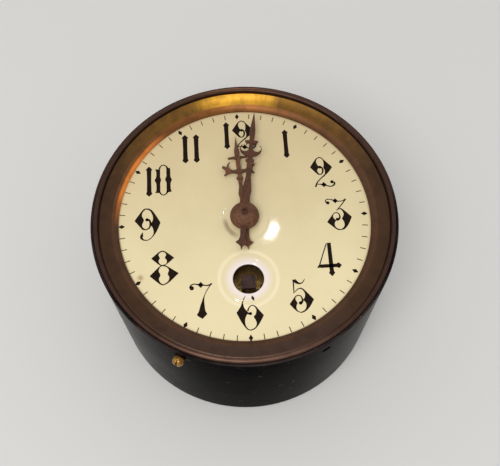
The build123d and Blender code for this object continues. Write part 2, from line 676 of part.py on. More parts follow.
def barrel_cap():
    """The lid snapped into the barrel, with the pry slot in its edge."""
    cap = disc(BARREL_BORE, BARREL_TOP - BARREL_FLOOR, BARREL_TOP, BARREL_AT)
    cap -= disc(SQUARE_CORNER + PIVOT_CLEARANCE, 0, CASE_RIM, BARREL_AT)
    notch = away(BARREL_AT, BARREL_BORE, 60.0)
    return cap - Pos(*notch, BARREL_TOP) * Rot(0, 0, 60.0) * Box(3.0, 3.0, 4 * BARREL_FLOOR)


def mainspring():
    """The coiled strip between the barrel wall and the arbor."""
    bottom = BARREL_BOTTOM + BARREL_FLOOR + SPRING_ROOM
    top = BARREL_TOP - BARREL_FLOOR - SPRING_ROOM
    return spiral(SPRING_INNER_RADIUS, SPRING_PITCH, SPRING_HALF_TURNS, SPRING_THICKNESS, BARREL_AT, bottom, top)


def barrel_arbor():
    """The arbor that winds the spring, ending in the winding square below the dial."""
    steps = [
        (BARREL_REAR_PIVOT, REAR_BACK), (BARREL_REAR_JOURNAL, REAR_TOP + END_SHAKE),
        (BARREL_CORE_RADIUS, BARREL_BOTTOM + BARREL_FLOOR + END_SHAKE),
        (SQUARE_CORNER, BARREL_TOP - BARREL_FLOOR - END_SHAKE),
    ]
    arbor = shaft(steps, FRONT_TOP, BARREL_AT)
    return arbor + block(BARREL_AT, SQUARE_SIZE, SQUARE_SIZE, FRONT_TOP, SQUARE_TOP)


def ratchet_wheel():
    """The saw-toothed wheel on the winding square."""
    step = 360.0 / RATCHET_TEETH
    first = CLICK_NOSE_BEARING - step / 4
    points = []
    for tooth in range(RATCHET_TEETH):
        points.append(away(BARREL_AT, RATCHET_RADIUS - RATCHET_DEPTH, first + tooth * step))
        points.append(away(BARREL_AT, RATCHET_RADIUS, first + tooth * step + 0.8 * step))
        points.append(away(BARREL_AT, RATCHET_RADIUS, first + tooth * step + 0.95 * step))
    ratchet = slab(points, RATCHET_BOTTOM, RATCHET_TOP)
    bore = SQUARE_SIZE + 2 * PIVOT_CLEARANCE
    return ratchet - block(BARREL_AT, bore, bore, RATCHET_BOTTOM - OVERSHOOT, RATCHET_TOP + OVERSHOOT)


def click():
    """The pawl, its nose just clear of the ratchet's tips."""
    nose = away(BARREL_AT, RATCHET_RADIUS + CLICK_CLEARANCE, CLICK_NOSE_BEARING)
    heel = away(BARREL_AT, RATCHET_RADIUS + 2.6, CLICK_NOSE_BEARING - 4.0)
    back = away(CLICK_AT, CLICK_HUB_RADIUS, CLICK_BEARING - 70.0)
    front = away(CLICK_AT, CLICK_HUB_RADIUS, CLICK_BEARING + 160.0)
    pawl = slab([nose, heel, back, front], RATCHET_BOTTOM, RATCHET_TOP)
    pawl += disc(CLICK_HUB_RADIUS, RATCHET_BOTTOM, RATCHET_TOP, CLICK_AT)
    return pawl - hole(CLICK_SCREW_RADIUS + PIVOT_CLEARANCE, CLICK_AT)


def click_spring():
    """A bent strip that presses the click towards the ratchet."""
    foot = disc(1.9, FRONT_TOP, RATCHET_TOP, CLICK_SPRING_AT)
    touch = away(BARREL_AT, RATCHET_RADIUS + 2.9, CLICK_NOSE_BEARING - 3.0)
    bend = away(BARREL_AT, CLICK_REACH + 4.6, CLICK_BEARING - 12.0)
    line = ThreePointArc((*CLICK_SPRING_AT, RATCHET_BOTTOM), (*bend, RATCHET_BOTTOM), (*touch, RATCHET_BOTTOM))
    strip = extrude(trace(line, CLICK_SPRING_THICKNESS), amount=RATCHET_THICKNESS, dir=(0, 0, 1))
    return foot + strip - hole(CLICK_SCREW_RADIUS + THREAD_CLEARANCE, CLICK_SPRING_AT)


def click_screws():
    """The click's shoulder screw and the screw of its spring."""
    depth = RATCHET_TOP - FRONT_BACK
    seat = RATCHET_TOP + END_SHAKE
    pivot = screw(CLICK_AT, seat, 1, CLICK_SCREW_RADIUS, depth + END_SHAKE, 1.7, 1.0)
    clamp = screw(CLICK_SPRING_AT, RATCHET_TOP, 1, CLICK_SCREW_RADIUS, depth, 1.7, 1.0)
    return [pivot, clamp]


# Train

CENTRE_WHEEL_BOTTOM = REAR_TOP + CENTRE_WHEEL_LIFT
INTERMEDIATE_WHEEL_TOP = FRONT_BACK - INTERMEDIATE_WHEEL_DROP
INTERMEDIATE_WHEEL_BOTTOM = INTERMEDIATE_WHEEL_TOP - WHEEL_THICKNESS
THIRD_WHEEL_BOTTOM = REAR_TOP + THIRD_WHEEL_LIFT
FOURTH_WHEEL_TOP = REAR_BACK - FOURTH_WHEEL_DROP
FOURTH_WHEEL_BOTTOM = FOURTH_WHEEL_TOP - WHEEL_THICKNESS
LEAF_OVERLAP = 0.8
CANNON_TOP = DIAL_TOP + CANNON_TOP_ABOVE_DIAL


def intermediate_wheel():
    """The wheel between the barrel and the centre arbor."""
    return wheel(SECOND.wheel, SECOND.module, CENTRE_AT, INTERMEDIATE_AT, INTERMEDIATE_WHEEL_BOTTOM,
                 INTERMEDIATE_ARBOR, 3.2, WHEEL_THICKNESS)


def intermediate_arbor():
    """Its arbor, with the pinion that the great wheel turns."""
    steps = [(INTERMEDIATE_PIVOT, REAR_BACK), (INTERMEDIATE_ARBOR, REAR_TOP + END_SHAKE),
             (INTERMEDIATE_PIVOT, FRONT_BACK - END_SHAKE)]
    arbor = shaft(steps, FRONT_TOP, INTERMEDIATE_AT)
    bottom = BARREL_BOTTOM - LEAF_OVERLAP / 2
    top = BARREL_BOTTOM + BARREL_WHEEL_THICKNESS + LEAF_OVERLAP
    return arbor + leaves(GREAT.pinion, GREAT.module, BARREL_AT, INTERMEDIATE_AT, bottom, top)


def centre_wheel():
    """The wheel that turns once an hour."""
    return wheel(THIRD.wheel, THIRD.module, THIRD_AT, CENTRE_AT, CENTRE_WHEEL_BOTTOM, CENTRE_ARBOR, 3.0)


def centre_arbor():
    """The long arbor at the centre; its thin front end reaches up inside the cannon pinion."""
    steps = [(INTERMEDIATE_PIVOT, REAR_BACK), (CENTRE_ARBOR, REAR_TOP + END_SHAKE),
             (CENTRE_PIVOT, FRONT_BACK - END_SHAKE), (CENTRE_TIP, DIAL_TOP)]
    arbor = shaft(steps, CANNON_TOP - CENTRE_TIP, CENTRE_AT)
    bottom = INTERMEDIATE_WHEEL_BOTTOM - LEAF_OVERLAP
    top = INTERMEDIATE_WHEEL_TOP + LEAF_OVERLAP
    return arbor + leaves(SECOND.pinion, SECOND.module, INTERMEDIATE_AT, CENTRE_AT, bottom, top)


def third_wheel():
    """The wheel between the centre and the fourth arbor."""
    return wheel(FOURTH.wheel, FOURTH.module, FOURTH_AT, THIRD_AT, THIRD_WHEEL_BOTTOM, THIRD_ARBOR, 2.4, 1.0)


def third_arbor():
    """Its arbor, with the pinion that the centre wheel turns."""
    steps = [(THIRD_PIVOT, REAR_BACK), (THIRD_ARBOR, REAR_TOP + END_SHAKE), (THIRD_PIVOT, FRONT_BACK - END_SHAKE)]
    arbor = shaft(steps, FRONT_TOP, THIRD_AT)
    bottom = CENTRE_WHEEL_BOTTOM - LEAF_OVERLAP / 2
    top = CENTRE_WHEEL_BOTTOM + WHEEL_THICKNESS + LEAF_OVERLAP
    return arbor + leaves(THIRD.pinion, THIRD.module, CENTRE_AT, THIRD_AT, bottom, top)


def fourth_wheel():
    """The wheel behind the back plate that drives the platform."""
    return wheel(ESCAPE.wheel, ESCAPE.module, ESCAPE_AT, FOURTH_AT, FOURTH_WHEEL_BOTTOM, FOURTH_ARBOR, 2.2, 0.9)


def fourth_arbor():
    """The long arbor from the front plate through the back plate to the platform."""
    steps = [(FOURTH_PIVOT, PLATFORM_BACK), (FOURTH_ARBOR, PLATFORM_TOP + END_SHAKE),
             (FOURTH_PIVOT, FRONT_BACK - END_SHAKE)]
    arbor = shaft(steps, FRONT_TOP, FOURTH_AT)
    bottom = THIRD_WHEEL_BOTTOM - LEAF_OVERLAP
    top = THIRD_WHEEL_BOTTOM + WHEEL_THICKNESS + LEAF_OVERLAP
    return arbor + leaves(FOURTH.pinion, FOURTH.module, THIRD_AT, FOURTH_AT, bottom, top)


# Motion work and hands

CANNON_BOTTOM = FRONT_TOP + CANNON_LIFT
MINUTE_WHEEL_BOTTOM = CANNON_BOTTOM + 0.2
MINUTE_WHEEL_TOP = MINUTE_WHEEL_BOTTOM + WHEEL_THICKNESS
HOUR_WHEEL_BOTTOM = CANNON_BOTTOM + CANNON_LEAF_LENGTH + 0.3
HOUR_WHEEL_TOP = HOUR_WHEEL_BOTTOM + WHEEL_THICKNESS
HOUR_HAND_BOTTOM = DIAL_TOP + HOUR_HAND_RISE
HOUR_HAND_TOP = HOUR_HAND_BOTTOM + HAND_THICKNESS
BOSS_BASE = DIAL_TOP + BOSS_BASE_RISE
BOSS_TOP = BOSS_BASE + BOSS_HEIGHT
MINUTE_HAND_BOTTOM = DIAL_TOP + MINUTE_HAND_RISE


def cannon_pinion():
    """The pipe on the centre arbor that carries the minute hand, with the motion work's pinion."""
    steps = [(CANNON_PIPE_RADIUS, CANNON_BOTTOM), (CANNON_TIP_RADIUS, BOSS_BASE)]
    pipe = shaft(steps, CANNON_TOP, CENTRE_AT)
    pipe += leaves(MINUTE.pinion, MINUTE.module, MINUTE_AT, CENTRE_AT, CANNON_BOTTOM,
                   CANNON_BOTTOM + CANNON_LEAF_LENGTH)
    pipe -= disc(CENTRE_PIVOT + PIVOT_CLEARANCE, 0, DIAL_TOP + END_SHAKE, CENTRE_AT)
    return pipe - disc(CENTRE_TIP + PIVOT_CLEARANCE, 0, CANNON_TOP + OVERSHOOT, CENTRE_AT)


def minute_wheel():
    """The first wheel of the motion work, on its post."""
    bore = MINUTE_POST_RADIUS + PIVOT_CLEARANCE
    top = MINUTE_WHEEL_TOP
    blank = toothed(MINUTE.wheel, MINUTE.module, TOOTH_HEIGHT, bearing(MINUTE_AT, CENTRE_AT), MINUTE_AT,
                    MINUTE_WHEEL_BOTTOM, top)
    blank -= windows(6.4, 3.0, 4, SPOKE_WIDTH, MINUTE_AT, MINUTE_WHEEL_BOTTOM, top, 45.0)
    return blank - hole(bore, MINUTE_AT)


def minute_pinion():
    """The pinion riveted to the minute wheel, turning the hour wheel."""
    bore = MINUTE_POST_RADIUS + PIVOT_CLEARANCE
    first = bearing(MINUTE_AT, CENTRE_AT) + 180.0 / HOUR.pinion
    blank = toothed(HOUR.pinion, HOUR.module, LEAF_HEIGHT, first, MINUTE_AT, MINUTE_WHEEL_TOP,
                    HOUR_WHEEL_TOP + 0.2)
    return blank - hole(bore, MINUTE_AT)


def minute_post():
    """The headed post in the front plate that the minute wheel turns on."""
    head = HOUR_WHEEL_TOP + 0.2 + END_SHAKE
    steps = [(MINUTE_POST_RADIUS, FRONT_BACK), (1.8, head)]
    return shaft(steps, head + 0.6, MINUTE_AT)


def hour_wheel():
    """The hour wheel and its pipe, which carries the hour hand."""
    blank = toothed(HOUR.wheel, HOUR.module, TOOTH_HEIGHT, bearing(CENTRE_AT, MINUTE_AT), CENTRE_AT,
                    HOUR_WHEEL_BOTTOM, HOUR_WHEEL_TOP)
    blank -= windows(7.0, 4.2, 4, SPOKE_WIDTH, CENTRE_AT, HOUR_WHEEL_BOTTOM, HOUR_WHEEL_TOP, 0.0)
    blank += disc(HOUR_PIPE_RADIUS, HOUR_WHEEL_BOTTOM, HOUR_HAND_TOP, CENTRE_AT)
    return blank - hole(CANNON_PIPE_RADIUS + HOUR_PIPE_CLEARANCE, CENTRE_AT)


def half_shape(*outlines):
    """Fuse the outlines of a hand's right half and mirror them across its axis."""
    half = outlines[0]
    for outline in outlines[1:]:
        half += outline
    return half + mirror(half, Plane.YZ)


def area(*points):
    """A flat face from a closed run of (x, y) points."""
    return Sketch() + make_face(Polyline(*[(x, y, 0) for x, y in points], close=True))


def hook(root_low, out_mid, out_end, tip, in_mid, root_high):
    """A pointed scroll: two arcs outside, one arc inside, closed along the hand's axis."""
    bulge = ((out_end[0] + tip[0]) / 2 + 0.25, (out_end[1] + tip[1]) / 2)
    return Sketch() + make_face([
        Line((0, root_low[1]), root_low),
        ThreePointArc(root_low, out_mid, out_end),
        ThreePointArc(out_end, bulge, tip),
        ThreePointArc(tip, in_mid, root_high),
        Line(root_high, (0, root_high[1])),
        Line((0, root_high[1]), (0, root_low[1])),
    ])


def minute_hand_outline():
    """A spear with barbs, a pair of open scrolls, two lobes and a pointed tail."""
    length = MINUTE_HAND_LENGTH
    blade = area((0, length), (0.5, length - 3.4), (0.95, length - 6.9), (1.0, length - 9.0),
                 (0.7, length - 11.8), (0.75, length - 15.4), (0.95, length - 17.8), (0.86, length - 26.0),
                 (1.4, length - 29.6), (1.55, length - 31.4), (1.2, length - 33.6), (1.5, 2.0), (0, 2.0))
    barb = area((0, length - 11.4), (1.1, length - 11.7), (2.35, length - 11.95), (1.95, length - 12.5),
                (1.7, length - 13.6), (1.3, length - 12.7), (0, length - 12.9))
    scroll = hook((0.7, length - 17.9), (2.5, length - 17.35), (3.8, length - 15.3), (3.05, length - 13.6),
                  (2.0, length - 16.25), (0.6, length - 15.0))
    lobe = Pos(0.95, length - 19.7) * Circle(0.55)
    tail = area((0, -2.0), (1.2, -2.0), (0.8, -8.2), (1.15, -9.5), (2.05, -10.3), (1.1, -10.9),
                (0.45, -11.4), (0, -12.9))
    return half_shape(blade, barb, scroll, lobe, tail) + Circle(BOSS_RADIUS / 2)


def hour_hand_outline():
    """A shorter spear with leaves, a pair of large scrolls with three-pointed ends, and a tail."""
    length = HOUR_HAND_LENGTH
    blade = area((0, length), (0.38, length - 3.3), (0.95, length - 6.2), (0.8, length - 8.2),
                 (0.72, length - 12.0), (0.68, length - 16.0), (0.62, length - 20.0), (1.1, length - 22.6),
                 (0.75, 7.2), (1.3, 4.2), (1.3, 2.4), (0, 2.4))
    leaf = area((0, length - 7.9), (1.2, length - 8.2), (3.4, length - 8.5), (3.4, length - 8.85),
                (1.4, length - 8.9), (0, length - 9.6))
    scroll = Sketch() + make_face([
        Line((0, length - 13.4), (0.7, length - 13.3)),
        ThreePointArc((0.7, length - 13.3), (2.3, length - 13.45), (3.45, length - 11.9)),
        ThreePointArc((3.45, length - 11.9), (3.35, length - 11.0), (2.85, length - 10.3)),
        ThreePointArc((2.85, length - 10.3), (3.75, length - 11.0), (4.15, length - 12.2)),
        Line((4.15, length - 12.2), (5.6, length - 11.5)),
        Line((5.6, length - 11.5), (5.75, length - 12.1)),
        ThreePointArc((5.75, length - 12.1), (4.75, length - 13.2), (5.35, length - 15.2)),
        Line((5.35, length - 15.2), (4.85, length - 15.25)),
        ThreePointArc((4.85, length - 15.25), (2.9, length - 14.45), (0.7, length - 14.9)),
        Line((0.7, length - 14.9), (0, length - 14.9)),
        Line((0, length - 14.9), (0, length - 13.4)),
    ])
    lobe = Pos(0.7, length - 16.8) * Circle(0.5)
    tail = area((0, -2.4), (1.1, -2.4), (0.75, -7.4), (1.1, -8.8), (1.95, -9.4), (1.05, -10.0),
                (0.4, -10.4), (0, -11.8))
    return half_shape(blade, leaf, scroll, lobe, tail)


def hour_hand():
    """The pierced hour hand on the hour wheel's pipe."""
    hand = extrude(hour_hand_outline(), HAND_THICKNESS)
    hand = Pos(0, 0, HOUR_HAND_BOTTOM) * Rot(0, 0, -HOUR_HAND_BEARING) * hand
    hand += disc(BOSS_RADIUS - 0.7, HOUR_HAND_BOTTOM, HOUR_HAND_TOP)
    return hand - hole(HOUR_PIPE_RADIUS)


def hand_boss():
    """The domed boss that the minute hand is let into."""
    bore = CANNON_TIP_RADIUS
    dome = revolve(make_face([
        Line((bore, 0, BOSS_BASE), (BOSS_RADIUS - 0.4, 0, BOSS_BASE)),
        ThreePointArc((BOSS_RADIUS - 0.4, 0, BOSS_BASE), (BOSS_RADIUS - 0.1, 0, BOSS_BASE + 0.3),
                      (BOSS_RADIUS, 0, BOSS_BASE + 0.8)),
        ThreePointArc((BOSS_RADIUS, 0, BOSS_BASE + 0.8), (0.78 * BOSS_RADIUS, 0, BOSS_BASE + 0.72 * BOSS_HEIGHT),
                      (bore, 0, BOSS_TOP)),
        Line((bore, 0, BOSS_TOP), (bore, 0, BOSS_BASE)),
    ]), Axis.Z)
    seat = extrude(minute_hand_outline(), HAND_THICKNESS)
    return dome - Pos(0, 0, MINUTE_HAND_BOTTOM) * Rot(0, 0, -MINUTE_HAND_BEARING) * seat


def minute_hand():
    """The pierced minute hand, let into its boss."""
    hand = extrude(minute_hand_outline(), HAND_THICKNESS)
    hand = Pos(0, 0, MINUTE_HAND_BOTTOM) * Rot(0, 0, -MINUTE_HAND_BEARING) * hand
    return hand - hole(CANNON_TIP_RADIUS)


# Platform escapement

ESCAPE_WHEEL_TOP = PLATFORM_BACK - ESCAPE_WHEEL_DROP
ESCAPE_WHEEL_BOTTOM = ESCAPE_WHEEL_TOP - ESCAPE_WHEEL_THICKNESS
LEVER_TOP = ESCAPE_WHEEL_TOP + (LEVER_THICKNESS - ESCAPE_WHEEL_THICKNESS) / 2
LEVER_BOTTOM = LEVER_TOP - LEVER_THICKNESS
COCK_TOP = PLATFORM_BACK - COCK_DROP
COCK_BOTTOM = COCK_TOP - COCK_THICKNESS
BALANCE_TOP = PLATFORM_BACK - BALANCE_DROP
BALANCE_BOTTOM = BALANCE_TOP - BALANCE_THICKNESS
ROLLER_BOTTOM = BALANCE_TOP + 0.9
ROLLER_TOP = ROLLER_BOTTOM + ROLLER_THICKNESS
HAIRSPRING_TOP = BALANCE_BOTTOM - HAIRSPRING_DROP
HAIRSPRING_BOTTOM = HAIRSPRING_TOP - HAIRSPRING_HEIGHT
BALANCE_COCK_TOP = HAIRSPRING_BOTTOM - BALANCE_COCK_GAP + 0.4
BALANCE_COCK_BOTTOM = BALANCE_COCK_TOP - BALANCE_COCK_THICKNESS
INDEX_TOP = BALANCE_COCK_BOTTOM - END_SHAKE
INDEX_BOTTOM = INDEX_TOP - INDEX_THICKNESS
COCK_FOOT_AT = away(BALANCE_AT, BALANCE_COCK_FOOT, 180.0)
ESCAPE_FOOT_AT = (ESCAPE_AT[0] + ESCAPE_COCK_FOOT[0], ESCAPE_AT[1] + ESCAPE_COCK_FOOT[1])
PALLET_FOOT_AT = (PALLET_AT[0] + PALLET_COCK_FOOT[0], PALLET_AT[1] + PALLET_COCK_FOOT[1])
FINE_SCREW = 0.6
FINE_HEAD = 1.1
FINE_HEAD_HEIGHT = 0.7


def platform_plate():
    """The platform that carries the escapement on its rear side."""
    plate = extrude(RectangleRounded(PLATFORM_LENGTH, PLATFORM_WIDTH, 3.0), PLATFORM_THICKNESS)
    plate = Pos(*PLATFORM_CENTRE, PLATFORM_BACK) * plate
    bores = [
        (FOURTH_PIVOT + PIVOT_CLEARANCE, FOURTH_AT), (SMALL_PIVOT + PIVOT_CLEARANCE, PALLET_AT),
        (SMALL_PIVOT + PIVOT_CLEARANCE, BALANCE_AT), (2.2 * ESCAPE_ARBOR, ESCAPE_AT),
    ]
    bores += [(POST_SCREW_RADIUS + THREAD_CLEARANCE, place) for place in PLATFORM_SCREW_PLACES]
    bores += [(FINE_SCREW + THREAD_CLEARANCE, place) for place in (COCK_FOOT_AT, ESCAPE_FOOT_AT, PALLET_FOOT_AT)]
    for radius, place in bores:
        plate -= hole(radius, place)
    return plate


def platform_posts():
    """Posts riveted behind the back plate, tapped for the platform's screws."""
    depth = SCREW_DEPTH
    return [disc(POST_RADIUS, PLATFORM_TOP, REAR_BACK, place)
            - disc(POST_SCREW_RADIUS + THREAD_CLEARANCE, 0, PLATFORM_TOP + depth, place)
            for place in PLATFORM_SCREW_PLACES]


def platform_screws():
    """Screws through the platform into its posts."""
    depth = PLATFORM_THICKNESS + SCREW_DEPTH - END_SHAKE
    return [screw(place, PLATFORM_BACK, -1, POST_SCREW_RADIUS, depth, 1.5, 0.9) for place in PLATFORM_SCREW_PLACES]


def escape_wheel():
    """A club-toothed escape wheel on thin spokes."""
    step = 360.0 / ESCAPE_TEETH
    root = ESCAPE_TIP_RADIUS - 1.0
    points = []
    for tooth in range(ESCAPE_TEETH):
        start = tooth * step
        points.append(away(ESCAPE_AT, root, start - 0.25 * step))
        points.append(away(ESCAPE_AT, ESCAPE_TIP_RADIUS - 0.2, start))
        points.append(away(ESCAPE_AT, ESCAPE_TIP_RADIUS, start + 0.16 * step))
        points.append(away(ESCAPE_AT, root, start + 0.1 * step))
    blank = slab(points, ESCAPE_WHEEL_BOTTOM, ESCAPE_WHEEL_TOP)
    blank -= windows(root - 0.5, 1.1, SPOKES, 0.4, ESCAPE_AT, ESCAPE_WHEEL_BOTTOM, ESCAPE_WHEEL_TOP)
    return blank - hole(ESCAPE_ARBOR, ESCAPE_AT)


def escape_arbor():
    """The arbor from the back plate through the platform, with the pinion of the fourth wheel."""
    steps = [(SMALL_PIVOT, COCK_BOTTOM), (ESCAPE_ARBOR, COCK_TOP + END_SHAKE), (SMALL_PIVOT, REAR_BACK - END_SHAKE)]
    arbor = shaft(steps, REAR_TOP, ESCAPE_AT)
    bottom = FOURTH_WHEEL_BOTTOM - LEAF_OVERLAP
    top = FOURTH_WHEEL_TOP + LEAF_OVERLAP
    return arbor + leaves(ESCAPE.pinion, ESCAPE.module, FOURTH_AT, ESCAPE_AT, bottom, top)


def small_cock(pivot_at, foot_at, width):
    """A cock over one pivot: an arm on a foot that stands on the platform."""
    cock = strap(pivot_at, foot_at, width, COCK_BOTTOM, COCK_TOP)
    cock += block(foot_at, *SMALL_COCK_FOOT_SIZE, COCK_BOTTOM, PLATFORM_BACK)
    cock -= hole(SMALL_PIVOT + PIVOT_CLEARANCE, pivot_at)
    return cock - hole(FINE_SCREW + THREAD_CLEARANCE, foot_at)


def stones():
    """The two pallet stones, held clear of the escape wheel's tips."""
    inner = ESCAPE_TIP_RADIUS + STONE_CLEARANCE
    pair = []
    for side in (-1, 1):
        angle = 180.0 + side * PALLET_ANGLE
        middle = away(ESCAPE_AT, inner + STONE_LENGTH / 2, angle)
        pair.append(Pos(*middle, LEVER_BOTTOM) * Rot(0, 0, angle)
                    * Box(STONE_LENGTH, STONE_WIDTH, LEVER_THICKNESS, align=LOW_CENTRE))
    return pair


def pallet_lever():
    """The lever: an anchor with the stones' seats at one end and the fork at the other."""
    half = area((-LEVER_REACH + 1.45, 0), (-LEVER_REACH + 1.45, 0.28), (-LEVER_REACH + 0.75, 0.28),
                (-LEVER_REACH + 0.9, 0.85), (-LEVER_REACH + 1.9, 0.7), (-LEVER_REACH + 2.5, 0.3),
                (-1.0, 0.35), (-0.75, 1.2), (-0.75, 2.6), (-0.1, 3.2), (0.75, 2.9), (0.55, 2.0),
                (0.35, 1.0), (0.6, 0.5), (0.6, 0))
    shape = half + mirror(half, Plane.XZ)
    lever = Pos(*PALLET_AT, LEVER_BOTTOM) * extrude(shape, LEVER_THICKNESS)
    for stone in stones():
        lever -= stone
    return lever - hole(0.4, PALLET_AT)


def pallet_arbor():
    """The lever's arbor, between the platform and its cock."""
    steps = [(SMALL_PIVOT, COCK_BOTTOM), (0.4, COCK_TOP + END_SHAKE), (SMALL_PIVOT, PLATFORM_BACK - END_SHAKE)]
    return shaft(steps, PLATFORM_TOP, PALLET_AT)


def balance_wheel():
    """The balance: a heavy rim on two arms."""
    blank = disc(BALANCE_RADIUS, BALANCE_BOTTOM, BALANCE_TOP, BALANCE_AT)
    blank -= windows(BALANCE_RADIUS - BALANCE_RIM, 1.8, 2, 1.3, BALANCE_AT, BALANCE_BOTTOM, BALANCE_TOP, 0.0)
    return blank - hole(STAFF_RADIUS, BALANCE_AT)


def balance_screws():
    """The timing screws round the balance rim."""
    middle = (BALANCE_BOTTOM + BALANCE_TOP) / 2
    screws = []
    for number in range(BALANCE_SCREWS):
        angle = (number + 0.5) * 360.0 / BALANCE_SCREWS
        bar = Pos(BALANCE_RADIUS, 0, 0) * Rot(0, 90, 0) * Cylinder(0.4, 0.6, align=LOW_CENTRE)
        flat = Pos(BALANCE_RADIUS - 0.05, 0, 0) * Rot(0, 90, 0) * Cylinder(0.4, 0.1, align=LOW_CENTRE)
        screws.append(Pos(*BALANCE_AT, middle) * Rot(0, 0, angle) * (bar - flat))
    return screws


def balance_staff():
    """The balance's staff, from the platform to its cock."""
    steps = [
        (SMALL_PIVOT, BALANCE_COCK_BOTTOM), (STAFF_RADIUS, BALANCE_COCK_TOP + END_SHAKE),
        (COLLET_RADIUS, HAIRSPRING_BOTTOM - 0.1), (STAFF_RADIUS, HAIRSPRING_TOP + 0.1),
        (SMALL_PIVOT, PLATFORM_BACK - END_SHAKE),
    ]
    return shaft(steps, PLATFORM_TOP, BALANCE_AT)


def jewel_place():
    """Where the impulse jewel stands on the roller at rest."""
    return away(BALANCE_AT, JEWEL_ORBIT, 0.0)


def roller():
    """The roller on the staff that carries the impulse jewel."""
    plate = disc(ROLLER_RADIUS, ROLLER_BOTTOM, ROLLER_TOP, BALANCE_AT) - hole(STAFF_RADIUS, BALANCE_AT)
    return plate - hole(JEWEL_RADIUS, jewel_place())


def impulse_jewel():
    """The jewel pin, ending just short of the fork."""
    return disc(JEWEL_RADIUS, ROLLER_BOTTOM, LEVER_BOTTOM - FORK_CLEARANCE, jewel_place())


def hairspring():
    """The flat spiral between the collet and the stud."""
    return spiral(HAIRSPRING_START, HAIRSPRING_PITCH, HAIRSPRING_HALF_TURNS, HAIRSPRING_THICKNESS, BALANCE_AT,
                  HAIRSPRING_BOTTOM, HAIRSPRING_TOP)


def hairspring_stud():
    """The stud under the balance cock that holds the spring's outer end."""
    end = HAIRSPRING_START + (HAIRSPRING_HALF_TURNS - 1) * HAIRSPRING_PITCH / 2 + HAIRSPRING_THICKNESS / 2
    return disc(0.5, BALANCE_COCK_TOP, HAIRSPRING_TOP + 0.2, away(BALANCE_AT, end + 0.52, 180.0))


def balance_cock():
    """The cock over the balance, on a foot that stands on the platform."""
    cock = strap(BALANCE_AT, COCK_FOOT_AT, BALANCE_COCK_WIDTH, BALANCE_COCK_BOTTOM, BALANCE_COCK_TOP)
    cock += block(COCK_FOOT_AT, *BALANCE_COCK_FOOT_SIZE, BALANCE_COCK_BOTTOM, PLATFORM_BACK)
    cock -= hole(SMALL_PIVOT + PIVOT_CLEARANCE, BALANCE_AT)
    return cock - hole(FINE_SCREW + THREAD_CLEARANCE, COCK_FOOT_AT)


def end_cap():
    """The headed jewel setting behind the balance's rear pivot, which the regulator turns on."""
    return shaft([(2.1, INDEX_BOTTOM - 0.5), (1.4, INDEX_BOTTOM - 0.1)], BALANCE_COCK_BOTTOM, BALANCE_AT)


def regulator_index():
    """The regulator: a tail with an upturned finger pad, and a short arm with the curb pin."""
    tip = away(BALANCE_AT, INDEX_REACH, 90.0)
    curb = away(BALANCE_AT, 6.2, 230.0)
    index = disc(2.8, INDEX_BOTTOM, INDEX_TOP, BALANCE_AT)
    index += strap(BALANCE_AT, tip, 1.2, INDEX_BOTTOM, INDEX_TOP)
    index += strap(BALANCE_AT, curb, 1.0, INDEX_BOTTOM, INDEX_TOP)
    index += disc(0.6, 1.4 + CASE_WALL, INDEX_BOTTOM, tip)
    index += disc(0.15, INDEX_TOP, HAIRSPRING_TOP, curb)
    return index - hole(1.4 + PIVOT_CLEARANCE, BALANCE_AT)


def cock_screws():
    """The screws that hold the three cocks to the platform."""
    depth = PLATFORM_BACK - COCK_BOTTOM + PLATFORM_THICKNESS
    long_depth = PLATFORM_TOP - BALANCE_COCK_BOTTOM
    fine = (FINE_HEAD, FINE_HEAD_HEIGHT)
    return [
        screw(ESCAPE_FOOT_AT, COCK_BOTTOM, -1, FINE_SCREW, depth, *fine),
        screw(PALLET_FOOT_AT, COCK_BOTTOM, -1, FINE_SCREW, depth, *fine),
        screw(COCK_FOOT_AT, BALANCE_COCK_BOTTOM, -1, FINE_SCREW, long_depth, 1.8, FINE_HEAD_HEIGHT),
    ]


os.makedirs("parts", exist_ok=True)

save("drum_body", drum_body())
save("back_cover", back_cover())
save("bezel", bezel())
save("movement_ring", movement_ring())
save("case_screws", *case_screws())
save("ring_screws", *ring_screws())
save("enamel_dial", enamel_dial())
save("dial_feet", *dial_feet())
save("dial_pins", *dial_pins())
save("front_plate", front_plate())
save("back_plate", back_plate())
save("pillars", *pillars())
save("pillar_screws", *pillar_screws())
save("barrel", barrel())
save("barrel_cap", barrel_cap())
save("mainspring", mainspring())
save("barrel_arbor", barrel_arbor())
save("ratchet_wheel", ratchet_wheel())
save("click", click())
save("click_spring", click_spring())
save("click_screws", *click_screws())
save("intermediate_wheel", intermediate_wheel())
save("intermediate_arbor", intermediate_arbor())
save("centre_wheel", centre_wheel())
save("centre_arbor", centre_arbor())
save("third_wheel", third_wheel())
save("third_arbor", third_arbor())
save("fourth_wheel", fourth_wheel())
save("fourth_arbor", fourth_arbor())
save("cannon_pinion", cannon_pinion())
save("minute_wheel", minute_wheel())
save("minute_pinion", minute_pinion())
save("minute_post", minute_post())
save("hour_wheel", hour_wheel())
save("hour_hand", hour_hand())
save("minute_hand", minute_hand())
save("hand_boss", hand_boss())
save("platform_plate", platform_plate())
save("platform_posts", *platform_posts())
save("platform_screws", *platform_screws())
save("escape_wheel", escape_wheel())
save("escape_arbor", escape_arbor())
save("escape_cock", small_cock(ESCAPE_AT, ESCAPE_FOOT_AT, 3.0))
save("pallet_lever", pallet_lever())
save("pallet_stones", *stones())
save("pallet_arbor", pallet_arbor())
save("pallet_cock", small_cock(PALLET_AT, PALLET_FOOT_AT, 2.6))
save("balance_wheel", balance_wheel())
save("balance_screws", *balance_screws())
save("balance_staff", balance_staff())
save("roller", roller())
save("impulse_jewel", impulse_jewel())
save("hairspring", hairspring())
save("hairspring_stud", hairspring_stud())
save("balance_cock", balance_cock())
save("regulator_index", regulator_index())
save("end_cap", end_cap())
